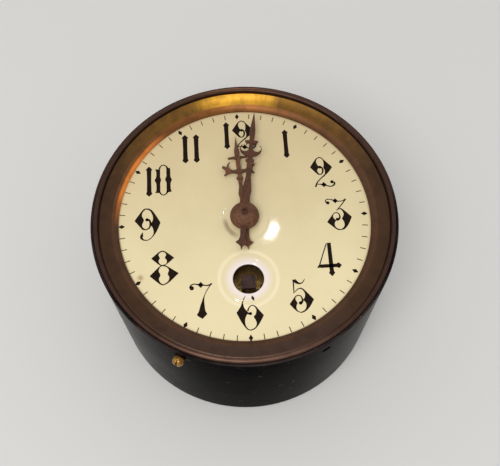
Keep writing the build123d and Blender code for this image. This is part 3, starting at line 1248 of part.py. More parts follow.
save("cock_screws", *cock_screws())
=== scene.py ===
"""Looks of an eight-day drum clock: a brass case with an enamel dial, pierced steel hands and its movement."""

import logging
import math
from dataclasses import dataclass, field
from enum import Enum
from typing import Any, Optional, Sequence, Union

import bmesh
import bpy
import numpy as np
from mathutils import Euler, Matrix, Vector
from mathutils.geometry import delaunay_2d_cdt

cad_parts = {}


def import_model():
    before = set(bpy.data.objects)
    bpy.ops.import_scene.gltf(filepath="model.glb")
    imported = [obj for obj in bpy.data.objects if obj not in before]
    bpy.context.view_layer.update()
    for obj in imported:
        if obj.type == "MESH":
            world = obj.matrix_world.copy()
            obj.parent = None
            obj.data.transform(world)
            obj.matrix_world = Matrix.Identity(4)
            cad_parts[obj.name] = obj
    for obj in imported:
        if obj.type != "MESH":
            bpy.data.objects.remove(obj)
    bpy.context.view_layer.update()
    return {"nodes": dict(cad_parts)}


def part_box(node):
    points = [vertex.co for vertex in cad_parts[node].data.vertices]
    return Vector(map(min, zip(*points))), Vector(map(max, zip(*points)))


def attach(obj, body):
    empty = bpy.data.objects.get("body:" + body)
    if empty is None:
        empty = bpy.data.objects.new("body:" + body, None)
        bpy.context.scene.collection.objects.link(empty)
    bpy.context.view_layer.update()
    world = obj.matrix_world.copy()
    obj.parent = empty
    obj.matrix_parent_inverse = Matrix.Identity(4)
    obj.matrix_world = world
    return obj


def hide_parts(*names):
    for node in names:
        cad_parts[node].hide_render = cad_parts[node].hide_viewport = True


log = logging.getLogger("drum_clock")

Colour = tuple[float, float, float, float]
Point = tuple[float, float]
MILLIMETRE = 0.001


def tone(red: float, green: float, blue: float) -> Colour:
    """Turn a screen colour into the linear one that a shader takes.

    Args:
        red: Red from 0 to 255.
        green: Green from 0 to 255.
        blue: Blue from 0 to 255.

    Returns:
        The linear colour with full alpha.
    """
    screen = np.array([red, green, blue]) / 255.0
    linear = np.where(screen <= 0.04045, screen / 12.92, ((screen + 0.055) / 1.055) ** 2.4)
    return (float(linear[0]), float(linear[1]), float(linear[2]), 1.0)


# Shader nodes written as sums


class Signal:
    """A shader socket that takes part in Python sums."""

    def __init__(self, recipe: "Recipe", socket: bpy.types.NodeSocket) -> None:
        """Keep the recipe and the output socket."""
        self.recipe = recipe
        self.socket = socket

    def _sum(self, operation: str, first: Any, second: Any) -> "Signal":
        """Add one Math node for an operation on two values."""
        made = self.recipe.node("ShaderNodeMath", {"operation": operation}, {0: first, 1: second})
        return Signal(self.recipe, made.outputs[0])

    def __add__(self, other: Any) -> "Signal":
        """Add a value."""
        return self._sum("ADD", self, other)

    def __radd__(self, other: Any) -> "Signal":
        """Add to a value."""
        return self._sum("ADD", other, self)

    def __sub__(self, other: Any) -> "Signal":
        """Take a value away."""
        return self._sum("SUBTRACT", self, other)

    def __rsub__(self, other: Any) -> "Signal":
        """Take this away from a value."""
        return self._sum("SUBTRACT", other, self)

    def __mul__(self, other: Any) -> "Signal":
        """Multiply by a value."""
        return self._sum("MULTIPLY", self, other)

    def __rmul__(self, other: Any) -> "Signal":
        """Multiply a value by this."""
        return self._sum("MULTIPLY", other, self)

    def __truediv__(self, other: Any) -> "Signal":
        """Divide by a value."""
        return self._sum("DIVIDE", self, other)

    def __pow__(self, other: Any) -> "Signal":
        """Raise to a power."""
        return self._sum("POWER", self, other)

    def most(self, other: Any) -> "Signal":
        """The larger of this and another value."""
        return self._sum("MAXIMUM", self, other)

    def least(self, other: Any) -> "Signal":
        """The smaller of this and another value."""
        return self._sum("MINIMUM", self, other)

    def ramp(self, start: float, end: float) -> "Signal":
        """Rise smoothly from 0 at one value to 1 at another.

        Args:
            start: The value where the result is 0.
            end: The value where the result is 1; smaller than start for a fall.

        Returns:
            The smooth step.
        """
        low, high, out_low, out_high = (start, end, 0.0, 1.0) if start < end else (end, start, 1.0, 0.0)
        made = self.recipe.node(
            "ShaderNodeMapRange",
            {"interpolation_type": "SMOOTHSTEP"},
            {"Value": self, "From Min": low, "From Max": high, "To Min": out_low, "To Max": out_high},
        )
        return Signal(self.recipe, made.outputs["Result"])


Feed = Union[Signal, bpy.types.NodeSocket, float, tuple]


class Recipe:
    """One material's nodes, ending in a Principled shader."""

    def __init__(self, name: str) -> None:
        """Make an empty material with its shader and output."""
        self.material = bpy.data.materials.new(name)
        self.material.use_nodes = True
        self.tree = self.material.node_tree
        self.tree.nodes.clear()
        self.shader = self.node("ShaderNodeBsdfPrincipled")
        self.output = self.node("ShaderNodeOutputMaterial", None, {"Surface": self.shader.outputs["BSDF"]})
        self.place = self.node("ShaderNodeTexCoord").outputs["Object"]

    def node(self, kind: str, settings: Optional[dict] = None, sockets: Optional[dict] = None) -> bpy.types.Node:
        """Add any node.

        Args:
            kind: The node's type.
            settings: Properties, set first.
            sockets: Values or links of its inputs, by name or number.

        Returns:
            The new node.
        """
        made = self.tree.nodes.new(kind)
        for name, value in (settings or {}).items():
            setattr(made, name, value)
        for key, value in (sockets or {}).items():
            self.feed(made.inputs[key], value)
        return made

    def feed(self, entry: bpy.types.NodeSocket, value: Feed) -> None:
        """Link a socket to a signal, or set its constant."""
        if isinstance(value, Signal):
            self.tree.links.new(value.socket, entry)
        elif isinstance(value, bpy.types.NodeSocket):
            self.tree.links.new(value, entry)
        else:
            entry.default_value = value

    def mix(self, share: Feed, first: Feed, second: Feed, blend: str = "MIX") -> bpy.types.NodeSocket:
        """Mix two colours.

        Args:
            share: How much of the second colour shows.
            first: The first colour.
            second: The second colour.
            blend: The way they mix.

        Returns:
            The colour socket.
        """
        made = self.node("ShaderNodeMix", {"data_type": "RGBA", "blend_type": blend}, {0: share, 6: first, 7: second})
        return made.outputs[2]

    def moved(self, shift: Vector, scale: Sequence[float] = (1.0, 1.0, 1.0)) -> bpy.types.NodeSocket:
        """The place on the object, shifted and then stretched, in metres."""
        shifted = self.node("ShaderNodeVectorMath", {"operation": "SUBTRACT"}, {0: self.place, 1: tuple(shift)})
        made = self.node("ShaderNodeVectorMath", {"operation": "MULTIPLY"}, {0: shifted.outputs[0], 1: tuple(scale)})
        return made.outputs[0]

    def axes(self, vector: Feed) -> tuple[Signal, Signal, Signal]:
        """The three components of a vector as signals."""
        made = self.node("ShaderNodeSeparateXYZ", None, {0: vector})
        return tuple(Signal(self, made.outputs[number]) for number in range(3))

    def vector(self, first: Feed, second: Feed, third: Feed) -> bpy.types.NodeSocket:
        """A vector from three values."""
        return self.node("ShaderNodeCombineXYZ", None, {0: first, 1: second, 2: third}).outputs[0]

    def noise(self, vector: Feed, size: float, detail: float = 3.0, seed: float = 0.0) -> Signal:
        """Cloudy noise around one half.

        Args:
            vector: Where it is read.
            size: The size of its features, in the vector's units.
            detail: How many finer layers it has.
            seed: Which of many patterns it is.

        Returns:
            The noise.
        """
        made = self.node(
            "ShaderNodeTexNoise",
            {"noise_dimensions": "4D"},
            {"Vector": vector, "W": seed, "Scale": 1.0 / size, "Detail": detail, "Roughness": 0.55},
        )
        return Signal(self, made.outputs["Fac"])

    def bumps(self, height: Feed, strength: float, depth: float) -> None:
        """Raise the surface's normal by a height pattern of a real depth in metres."""
        made = self.node("ShaderNodeBump", None, {"Strength": strength, "Distance": depth, "Height": height})
        self.feed(self.shader.inputs["Normal"], made.outputs["Normal"])

    def finish(self, **sockets: Feed) -> bpy.types.Material:
        """Feed the Principled shader; a name's underscores stand for spaces."""
        for name, value in sockets.items():
            self.feed(self.shader.inputs[name.replace("_", " ")], value)
        return self.material


# Finishes


class Grain(Enum):
    """How a metal was worked."""

    TURNED = "turned"
    BRUSHED = "brushed"
    CAST = "cast"


@dataclass(frozen=True)
class AgedMetal:
    """A worked metal with dull patches, dark spots and the marks of its tool."""

    name: str
    bright: Colour
    dull: Colour
    stain: Colour
    grain: Grain = Grain.TURNED
    patch: float = 9.0
    spot: float = 1.6
    spot_share: float = 0.35
    gloss: float = 0.28
    dullness: float = 0.5
    line: float = 0.25
    relief: float = 0.02
    metallic: float = 1.0
    seed: float = 0.0

    def material(self, centre: Vector) -> bpy.types.Material:
        """Make the material.

        Args:
            centre: The axis that turned marks run round, in metres.

        Returns:
            The material.
        """
        recipe = Recipe(self.name)
        place = recipe.moved(centre)
        east, north, height = recipe.axes(place)
        reach = (east * east + north * north) ** 0.5
        patches = recipe.noise(recipe.place, self.patch * MILLIMETRE, 4.0, self.seed)
        spots = recipe.noise(recipe.place, self.spot * MILLIMETRE, 3.0, self.seed + 5.0)
        if self.grain is Grain.TURNED:
            marks = recipe.noise(recipe.vector(reach, height, self.seed), self.line * MILLIMETRE, 2.0)
        elif self.grain is Grain.BRUSHED:
            marks = recipe.noise(recipe.moved(centre, (0.06, 1.0, 1.0)), self.line * MILLIMETRE, 2.0)
        else:
            marks = recipe.noise(recipe.place, 2.0 * self.line * MILLIMETRE, 4.0)
        dull_share = (patches * 0.8 + marks * 0.2).ramp(0.4, 0.62)
        edge = 0.72 - 0.3 * self.spot_share
        spot_share = spots.ramp(edge - 0.07, edge + 0.05)
        colour = recipe.mix(dull_share, self.bright, self.dull)
        colour = recipe.mix(marks.ramp(0.35, 0.7) * 0.25, colour, self.stain)
        colour = recipe.mix(spot_share * 0.85, colour, self.stain)
        rough = self.gloss + (self.dullness - self.gloss) * dull_share + 0.22 * spot_share + 0.1 * (marks - 0.5)
        recipe.bumps(marks + spot_share * 0.6, 0.6, self.relief * MILLIMETRE)
        return recipe.finish(
            Base_Color=colour, Roughness=rough.least(0.95).most(0.08), Metallic=self.metallic - 0.45 * spot_share
        )


@dataclass(frozen=True)
class SpunBezel:
    """Brass under old lacquer, brown, with painted reflections by clock bearing: golden towards 12 o'clock, olive
    beside it, orange at 10, and painted highlights on the bead.
    """

    name: str = "spun_bezel_brass"
    brown: Colour = tone(70, 49, 34)
    # the near-side brown, the olive and the gold: painted reflection by clock bearing
    painted_near_side_brown: Colour = tone(72, 55, 46)
    olive_reflection: Colour = tone(104, 73, 28)
    gold_reflection: Colour = tone(206, 152, 50)
    slope: Colour = tone(86, 60, 43)
    # the slope's top colour: painted light towards 12 o'clock
    slope_lit_top: Colour = tone(116, 72, 34)
    # orange: a painted reflection on the inner edge at about 10 o'clock
    orange_reflection: Colour = tone(222, 130, 56)
    bead: Colour = tone(66, 46, 37)
    # the bead's near and top colours: painted highlights
    bead_near_highlight: Colour = tone(95, 70, 58)
    bead_top_highlight: Colour = tone(150, 100, 58)
    # deep: dark tarnish in the clouds and specks, and also painted shade on the inner slope at the upper right
    deep: Colour = tone(46, 32, 24)
    band_edge: float = 44.9
    bead_edge: float = 48.9
    orange_reflection_way: Point = (-0.891, 0.454)

    def material(self, centre: Vector) -> bpy.types.Material:
        """Make the material; the zones go by the distance from the axis and the clock bearing."""
        recipe = Recipe(self.name)
        east, north, height = recipe.axes(recipe.moved(centre))
        span = (east * east + north * north) ** 0.5
        reach = span / MILLIMETRE
        right, up = east / span, north / span
        ways = recipe.vector(right, up, reach * 0.004)
        wipes = recipe.noise(ways, 0.03, 3.0, 1.0)
        broad = recipe.noise(ways, 0.4, 3.0, 2.0)
        cloud = recipe.noise(recipe.place, 4.0 * MILLIMETRE, 4.0, 3.0)
        rings = recipe.noise(recipe.vector(reach, height / MILLIMETRE, 0.0), 0.3, 2.0, 4.0)
        specks = recipe.noise(recipe.place, 0.9 * MILLIMETRE, 3.0, 6.0).ramp(0.64, 0.71)
        waver = (wipes - 0.5) * 0.05 + (broad - 0.5) * 0.12
        # painted reflection by clock bearing: the band goes from brown through olive to gold towards 12 o'clock, and is
        # a greyer brown on the near side
        painted_gold_reflection = (up + waver).ramp(0.93, 1.02) * (0.65 + 0.35 * reach.ramp(48.6, 47.3))
        colour = recipe.mix((up + waver).ramp(0.2, 0.98), self.brown, self.olive_reflection)
        colour = recipe.mix(painted_gold_reflection, colour, self.gold_reflection)
        colour = recipe.mix((0.0 - up).ramp(0.6, 1.0) * 0.9, colour, self.painted_near_side_brown)
        # painted light on the inner slope: lighter towards 12 o'clock, with painted shade in the deep colour at the
        # upper right
        inner = recipe.mix(up.ramp(0.45, 1.0), self.slope, self.slope_lit_top)
        inner = recipe.mix(right.ramp(0.0, 0.35) * up.ramp(0.5, 0.85) * 0.5, inner, self.deep)
        # painted reflection: an orange glow on the inner edge at about 10 o'clock, strongest at the lip
        painted_orange_reflection = (right * self.orange_reflection_way[0] + up * self.orange_reflection_way[1]).ramp(0.87, 1.0)
        inner = recipe.mix(painted_orange_reflection * (0.12 + 0.88 * reach.ramp(44.15, 43.6)), inner, self.orange_reflection)
        colour = recipe.mix(reach.ramp(self.band_edge + 0.2, self.band_edge - 0.2), colour, inner)
        # painted highlights on the bead: lighter on the near side, golden at its outer edge towards 12 o'clock
        outer = recipe.mix((0.0 - up).ramp(0.8, 1.0), self.bead, self.bead_near_highlight)
        outer = recipe.mix(up.ramp(0.93, 1.02) * reach.ramp(49.8, 50.4), outer, self.bead_top_highlight)
        colour = recipe.mix(reach.ramp(self.bead_edge - 0.25, self.bead_edge + 0.25), colour, outer)
        colour = recipe.mix(cloud.ramp(0.56, 0.36) * 0.3, colour, self.deep)
        colour = recipe.mix(specks * 0.5, colour, self.deep)
        rough = 0.4 - 0.08 * painted_gold_reflection + 0.1 * (cloud - 0.5) + 0.2 * specks
        recipe.bumps(rings * 0.4 + wipes * 0.3 + specks * 0.5, 0.4, 0.015 * MILLIMETRE)
        return recipe.finish(Base_Color=colour, Roughness=rough, Metallic=0.92 - 0.4 * specks)


@dataclass(frozen=True)
class DarkDrum:
    """Polished brass tarnished almost black, with brown spots, faint wipes and painted light on its top edge, browner
    towards 12.
    """

    name: str = "tarnished_drum_brass"
    black: Colour = tone(26, 22, 23)
    soft: Colour = tone(54, 46, 44)
    spot: Colour = tone(104, 68, 40)
    # the top edge's brown: painted light on the far half
    painted_rim_light: Colour = tone(70, 49, 38)
    rim_start: float = 67.7
    rim_end: float = 67.95
    grazing: float = 0.28

    def material(self, centre: Vector) -> bpy.types.Material:
        """Make the material; the wipes run round the drum."""
        recipe = Recipe(self.name)
        east, north, height = recipe.axes(recipe.moved(Vector((0, 0, 0)), (1000.0, 1000.0, 1000.0)))
        up = north / (east * east + north * north) ** 0.5
        clouds = recipe.noise(recipe.place, 16.0 * MILLIMETRE, 3.0, 21.0)
        wipes = recipe.noise(recipe.moved(centre, (1.0, 1.0, 9.0)), 9.0 * MILLIMETRE, 3.0, 22.0)
        spots = recipe.noise(recipe.place, 2.6 * MILLIMETRE, 4.0, 23.0).ramp(0.63, 0.71)
        colour = recipe.mix((clouds * 0.6 + wipes * 0.4).ramp(0.4, 0.62), self.black, self.soft)
        colour = recipe.mix(spots * 0.7, colour, self.spot)
        # painted light: the top edge turns brown towards 12 o'clock and stays dark on the near side
        colour = recipe.mix(height.ramp(self.rim_start, self.rim_end) * up.ramp(-0.1, 0.4), colour, self.painted_rim_light)
        rough = 0.18 + 0.12 * clouds + 0.3 * spots
        recipe.bumps(wipes * 0.3 + spots * 0.5, 0.3, 0.02 * MILLIMETRE)
        recipe.shader.inputs["Specular Tint"].default_value = (self.grazing, self.grazing, self.grazing, 1.0)
        return recipe.finish(Base_Color=colour, Roughness=rough, Metallic=1.0 - 0.3 * spots)


@dataclass(frozen=True)
class Enamel:
    """Fired cream enamel, paler where it is sunk, with a stain, a brownish arc by the centre and a chip at its edge;
    painted shade towards 12 o'clock and a painted highlight ring round the winding hole.
    """

    name: str = "cream_enamel"
    body: Colour = tone(243, 227, 180)
    # the darker tone: painted shade towards 12 o'clock
    painted_shade_tone: Colour = tone(214, 193, 147)
    pale: Colour = tone(250, 236, 231)
    # warm: a painted highlight ring round the winding hole
    warm_highlight: Colour = tone(255, 240, 200)
    stain: Colour = tone(176, 136, 84)
    # a brown tone for faint mottling and for an arc beside the centre
    brownish: Colour = tone(148, 119, 84)
    chipped: Colour = tone(92, 74, 58)
    # a near-black brown for the winding hole's inner wall
    hole_wall_dark: Colour = tone(44, 28, 20)
    edge: Colour = tone(186, 160, 116)
    hole_centre: Point = (0.0, -21.6)
    stain_at: Point = (-35.5, -19.2)
    arc_way: Point = (-0.86, -0.51)
    chip_at: Point = (43.9, -0.4)

    def _away(self, recipe: Recipe, east: Signal, north: Signal, centre: Point) -> Signal:
        """Distance on the dial from a point, in millimetres."""
        across = east - centre[0]
        along = north - centre[1]
        return (across * across + along * along) ** 0.5

    def material(self, centre: Vector) -> bpy.types.Material:
        """Make the material; every mark sits at its measured place on the dial."""
        recipe = Recipe(self.name)
        scaled = recipe.moved(Vector((0, 0, 0)), (1000.0, 1000.0, 1000.0))
        east, north, height = recipe.axes(scaled)
        reach = (east * east + north * north) ** 0.5
        cloud = recipe.noise(scaled, 14.0, 3.0, 1.0)
        fine = recipe.noise(scaled, 0.8, 4.0, 2.0)
        waver = recipe.noise(scaled, 2.5, 2.0, 3.0) * 2.0 - 1.0
        # painted shade: darker towards 12 o'clock, mixed with random clouds
        painted_shade_north_and_clouds = (north * 0.012 + (cloud - 0.5) * 0.5).ramp(-0.5, 0.6)
        colour = recipe.mix(painted_shade_north_and_clouds, self.body, self.painted_shade_tone)
        colour = recipe.mix(fine.ramp(0.55, 0.75) * 0.05, colour, self.brownish)
        from_hole = self._away(recipe, east, north, self.hole_centre)
        # painted highlight: a warm pale ring round the winding hole's hollow, broken up by the clouds
        ring = from_hole.ramp(10.7, 9.9) * from_hole.ramp(8.6, 9.5)
        colour = recipe.mix(from_hole.ramp(8.9, 5.2) * 0.95, colour, self.pale)
        colour = recipe.mix(ring * (0.35 + 0.7 * cloud), colour, self.warm_highlight)
        stained = (self._away(recipe, east, north, self.stain_at) + waver * 0.6).ramp(1.6, 0.2)
        colour = recipe.mix(stained * 0.8, colour, self.stain)
        # a brownish arc to the lower left of the centre
        bearing = (east * self.arc_way[0] + north * self.arc_way[1]) / reach.most(1.0)
        arc = (reach + waver * 0.3).ramp(5.3, 6.4) * (reach + waver * 0.3).ramp(8.0, 6.7)
        brown_arc = arc * (bearing + waver * 0.06).ramp(0.7, 0.97)
        colour = recipe.mix(brown_arc * 0.75, colour, self.brownish)
        chipped = (self._away(recipe, east, north, self.chip_at) + waver * 0.35).ramp(1.25, 0.95)
        colour = recipe.mix(chipped, colour, self.chipped)
        colour = recipe.mix(reach.ramp(42.1, 43.0) * (0.3 + 0.5 * fine), colour, self.edge)
        # the winding hole's inner wall below its lip, darkened nearly black
        wall = from_hole.ramp(5.3, 5.2) * height.ramp(64.62, 64.4)
        colour = recipe.mix(wall, colour, self.hole_wall_dark)
        recipe.bumps(cloud * 2.0 + fine * 0.03 - chipped * 1.2, 0.3, 0.05 * MILLIMETRE)
        rough = 0.03 + 0.03 * fine + 0.5 * chipped.most(wall)
        return recipe.finish(Base_Color=colour, Roughness=rough)


@dataclass(frozen=True)
class Ink:
    """Fired dial paint, a little uneven."""

    name: str
    dark: Colour
    light: Colour

    def material(self, centre: Vector) -> bpy.types.Material:
        """Make the material."""
        recipe = Recipe(self.name)
        patches = recipe.noise(recipe.place, 1.2 * MILLIMETRE, 3.0, 4.0)
        grain = recipe.noise(recipe.place, 0.15 * MILLIMETRE, 2.0, 5.0)
        colour = recipe.mix((patches * 0.7 + grain * 0.3).ramp(0.42, 0.72), self.dark, self.light)
        recipe.bumps(grain, 0.3, 0.005 * MILLIMETRE)
        recipe.shader.inputs["Specular IOR Level"].default_value = 0.06
        return recipe.finish(Base_Color=colour, Roughness=0.5 + 0.2 * grain)


@dataclass(frozen=True)
class RustedSteel:
    """Thin steel under even brown rust, redder in patches and darker in the pits."""

    name: str
    rust: Colour = tone(80, 50, 34)
    red: Colour = tone(96, 58, 39)
    dark: Colour = tone(48, 29, 21)
    metallic: float = 0.15

    def material(self, centre: Vector) -> bpy.types.Material:
        """Make the material."""
        recipe = Recipe(self.name)
        patches = recipe.noise(recipe.place, 2.6 * MILLIMETRE, 4.0, 7.0)
        pits = recipe.noise(recipe.place, 0.45 * MILLIMETRE, 3.0, 8.0)
        dust = recipe.noise(recipe.place, 0.12 * MILLIMETRE, 2.0, 9.0)
        colour = recipe.mix(patches.ramp(0.42, 0.62), self.rust, self.red)
        colour = recipe.mix(pits.ramp(0.5, 0.66) * 0.8, colour, self.dark)
        colour = recipe.mix(dust.ramp(0.55, 0.8) * 0.25, colour, self.dark)
        rough = 0.5 + 0.3 * pits
        recipe.bumps(pits + dust * 0.4, 0.7, 0.05 * MILLIMETRE)
        recipe.shader.inputs["Specular IOR Level"].default_value = 0.25
        return recipe.finish(Base_Color=colour, Roughness=rough, Metallic=self.metallic * (1.2 - pits))


@dataclass(frozen=True)
class Ruby:
    """Polished synthetic ruby with faint growth clouds."""

    name: str = "ruby"
    deep: Colour = tone(150, 16, 40)
    light: Colour = tone(205, 48, 78)

    def material(self, centre: Vector) -> bpy.types.Material:
        """Make the material."""
        recipe = Recipe(self.name)
        clouds = recipe.noise(recipe.place, 0.4 * MILLIMETRE, 3.0, 1.0)
        fine = recipe.noise(recipe.place, 0.08 * MILLIMETRE, 2.0, 2.0)
        recipe.bumps(fine, 0.1, 0.002 * MILLIMETRE)
        colour = recipe.mix(clouds.ramp(0.4, 0.62), self.deep, self.light)
        return recipe.finish(Base_Color=colour, Roughness=0.06 + 0.06 * clouds, Coat_Weight=0.5)


@dataclass(frozen=True)
class PaleFloor:
    """A plain pale floor that shows as pale to the camera, to metal and to glass."""

    name: str = "pale_floor"
    colour: Colour = tone(226, 225, 222)

    def material(self) -> bpy.types.Material:
        """Make the material."""
        recipe = Recipe(self.name)
        return recipe.finish(Base_Color=self.colour, Roughness=0.9)


# Surfaces worked out as whole arrays


def spline(points: Sequence[Point], count: int) -> np.ndarray:
    """Carry a smooth line through points.

    Between neighbours the line is the cubic whose slopes are half the way from the point before to the
    point after, and the samples are evenly spread along the finished line.

    Args:
        points: The points to pass through.
        count: How many samples to return.

    Returns:
        The samples, count by 2.
    """
    knots = np.asarray(points, float)
    slopes = np.gradient(knots, axis=0) if len(knots) > 2 else np.diff(knots, axis=0)[[0, 0]]
    fine = 24
    span = np.linspace(0, len(knots) - 1, fine * (len(knots) - 1) + 1)
    index = np.minimum(span.astype(int), len(knots) - 2)
    t = (span - index)[:, None]
    start, end, before, after = knots[index], knots[index + 1], slopes[index], slopes[index + 1]
    line = ((2 * t**3 - 3 * t**2 + 1) * start + (t**3 - 2 * t**2 + t) * before
            + (3 * t**2 - 2 * t**3) * end + (t**3 - t**2) * after)
    return spread(line, count)


def spread(line: np.ndarray, count: int) -> np.ndarray:
    """Read a line again at samples evenly spread along its length."""
    steps = np.hypot(*np.diff(line, axis=0).T)
    way = np.concatenate([[0.0], np.cumsum(steps)])
    at = np.linspace(0, way[-1], count)
    return np.stack([np.interp(at, way, line[:, side]) for side in (0, 1)], axis=1)


@dataclass(frozen=True)
class Stroke:
    """A pen stroke: half-widths set across a smooth centre line."""

    line: tuple[Point, ...]
    halves: tuple[float, ...]
    count: int = 22

    def sides(self) -> tuple[np.ndarray, np.ndarray]:
        """The left and right edges: the centre line plus and minus its normal times the half-width."""
        centre = spline(self.line, self.count) if len(self.line) > 2 else spread(np.array(self.line, float), self.count)
        knots = np.asarray(self.line, float)
        way = np.concatenate([[0.0], np.cumsum(np.hypot(*np.diff(knots, axis=0).T))])
        at = np.linspace(0, way[-1], self.count)
        half = np.interp(at, way, self.halves)[:, None]
        course = np.gradient(centre, axis=0)
        course /= np.hypot(*course.T)[:, None]
        normal = np.stack([-course[:, 1], course[:, 0]], axis=1)
        return centre + normal * half, centre - normal * half


@dataclass(frozen=True)
class Blade:
    """The black between an outer edge with corners and a smooth inner edge."""

    outer: tuple[tuple[Point, ...], ...]
    inner: tuple[Point, ...]
    count: int = 40

    def sides(self) -> tuple[np.ndarray, np.ndarray]:
        """Both edges at even spacing; the outer one joins smooth runs at its corners."""
        runs = np.concatenate([spline(run, 24) for run in self.outer])
        return spread(runs, self.count), spline(self.inner, self.count)


@dataclass(frozen=True)
class Ball:
    """A round dot."""

    centre: Point
    radius: float
    count: int = 13

    def sides(self) -> tuple[np.ndarray, np.ndarray]:
        """The left and right half circles from top to bottom."""
        turn = np.linspace(0.02, np.pi - 0.02, self.count)
        across, along = self.radius * np.sin(turn), self.radius * np.cos(turn)
        middle = np.asarray(self.centre, float)
        return middle + np.stack([-across, along], axis=1), middle + np.stack([across, along], axis=1)


Mark = Union[Stroke, Blade, Ball]


def rhombus(centre: Point, across: float, along: float) -> Stroke:
    """An upright diamond from its half-width and half-height."""
    x, y = centre
    return Stroke(((x, y + along), (x, y), (x, y - along)), (0.03, across, 0.03), 9)


def pillar_bar(x: float, half: float, top: float, bottom: float, barb: float) -> Stroke:
    """An upright bar with a pointed, barbed head and foot."""
    ys = (top, top - 1.15, top - 1.75, (top + bottom) / 2, bottom + 1.75, bottom + 1.05, bottom)
    return Stroke(tuple((x, y) for y in ys), (0.04, barb, half, 0.92 * half, half, barb, 0.04), 40)


def numeral_two(shift: float) -> tuple[Mark, ...]:
    """The marks of a 2, moved sideways."""
    def at(*points: Point) -> tuple[Point, ...]:
        """Points moved by the shift."""
        return tuple((x + shift, y) for x, y in points)
    return (
        Blade((at((-1.4, 5.85), (-2.4, 5.35), (-3.3, 4.3), (-4.95, 1.85)), at((-4.95, 1.85), (-2.6, -1.0), (-1.9, -1.3))),
              at((-1.4, 5.5), (-2.3, 4.9), (-2.6, 3.8), (-2.2, 2.6), (-1.7, 1.8), (-2.3, 1.0), (-2.5, 0.2), (-1.9, -0.9))),
        Blade((at((-1.4, 5.85), (-0.4, 5.4), (0.3, 4.5), (2.85, 1.55)), at((2.85, 1.55), (1.4, -0.4), (-0.4, -2.0))),
              at((-1.4, 5.5), (-0.4, 4.9), (-0.05, 3.8), (-0.1, 2.2), (-0.3, 1.6), (0.1, 0.4), (0.0, -0.9), (-0.5, -1.7))),
        Ball(at((-1.5, 1.75))[0], 0.55),
        Stroke(at((-1.3, 1.9), (-0.65, 1.2), (-0.6, 0.0), (-1.1, -0.95), (-1.9, -1.15)), (0.3, 0.3, 0.3, 0.22, 0.18)),
        Stroke(at((-0.1, -1.55), (-1.1, -2.35), (-2.2, -3.4), (-3.2, -4.7), (-3.65, -6.0)), (0.28, 0.2, 0.18, 0.24, 0.3)),
        Stroke(at((-3.3, -4.9), (-2.2, -5.0), (-0.7, -5.2), (0.4, -5.75), (1.8, -6.0), (2.95, -5.3), (2.95, -4.4)),
               (0.16, 0.16, 0.3, 0.2, 0.2, 0.3, 0.3)),
        rhombus(at((-0.75, -5.2))[0], 0.95, 1.0),
        Ball(at((2.2, -4.3))[0], 0.62),
    )


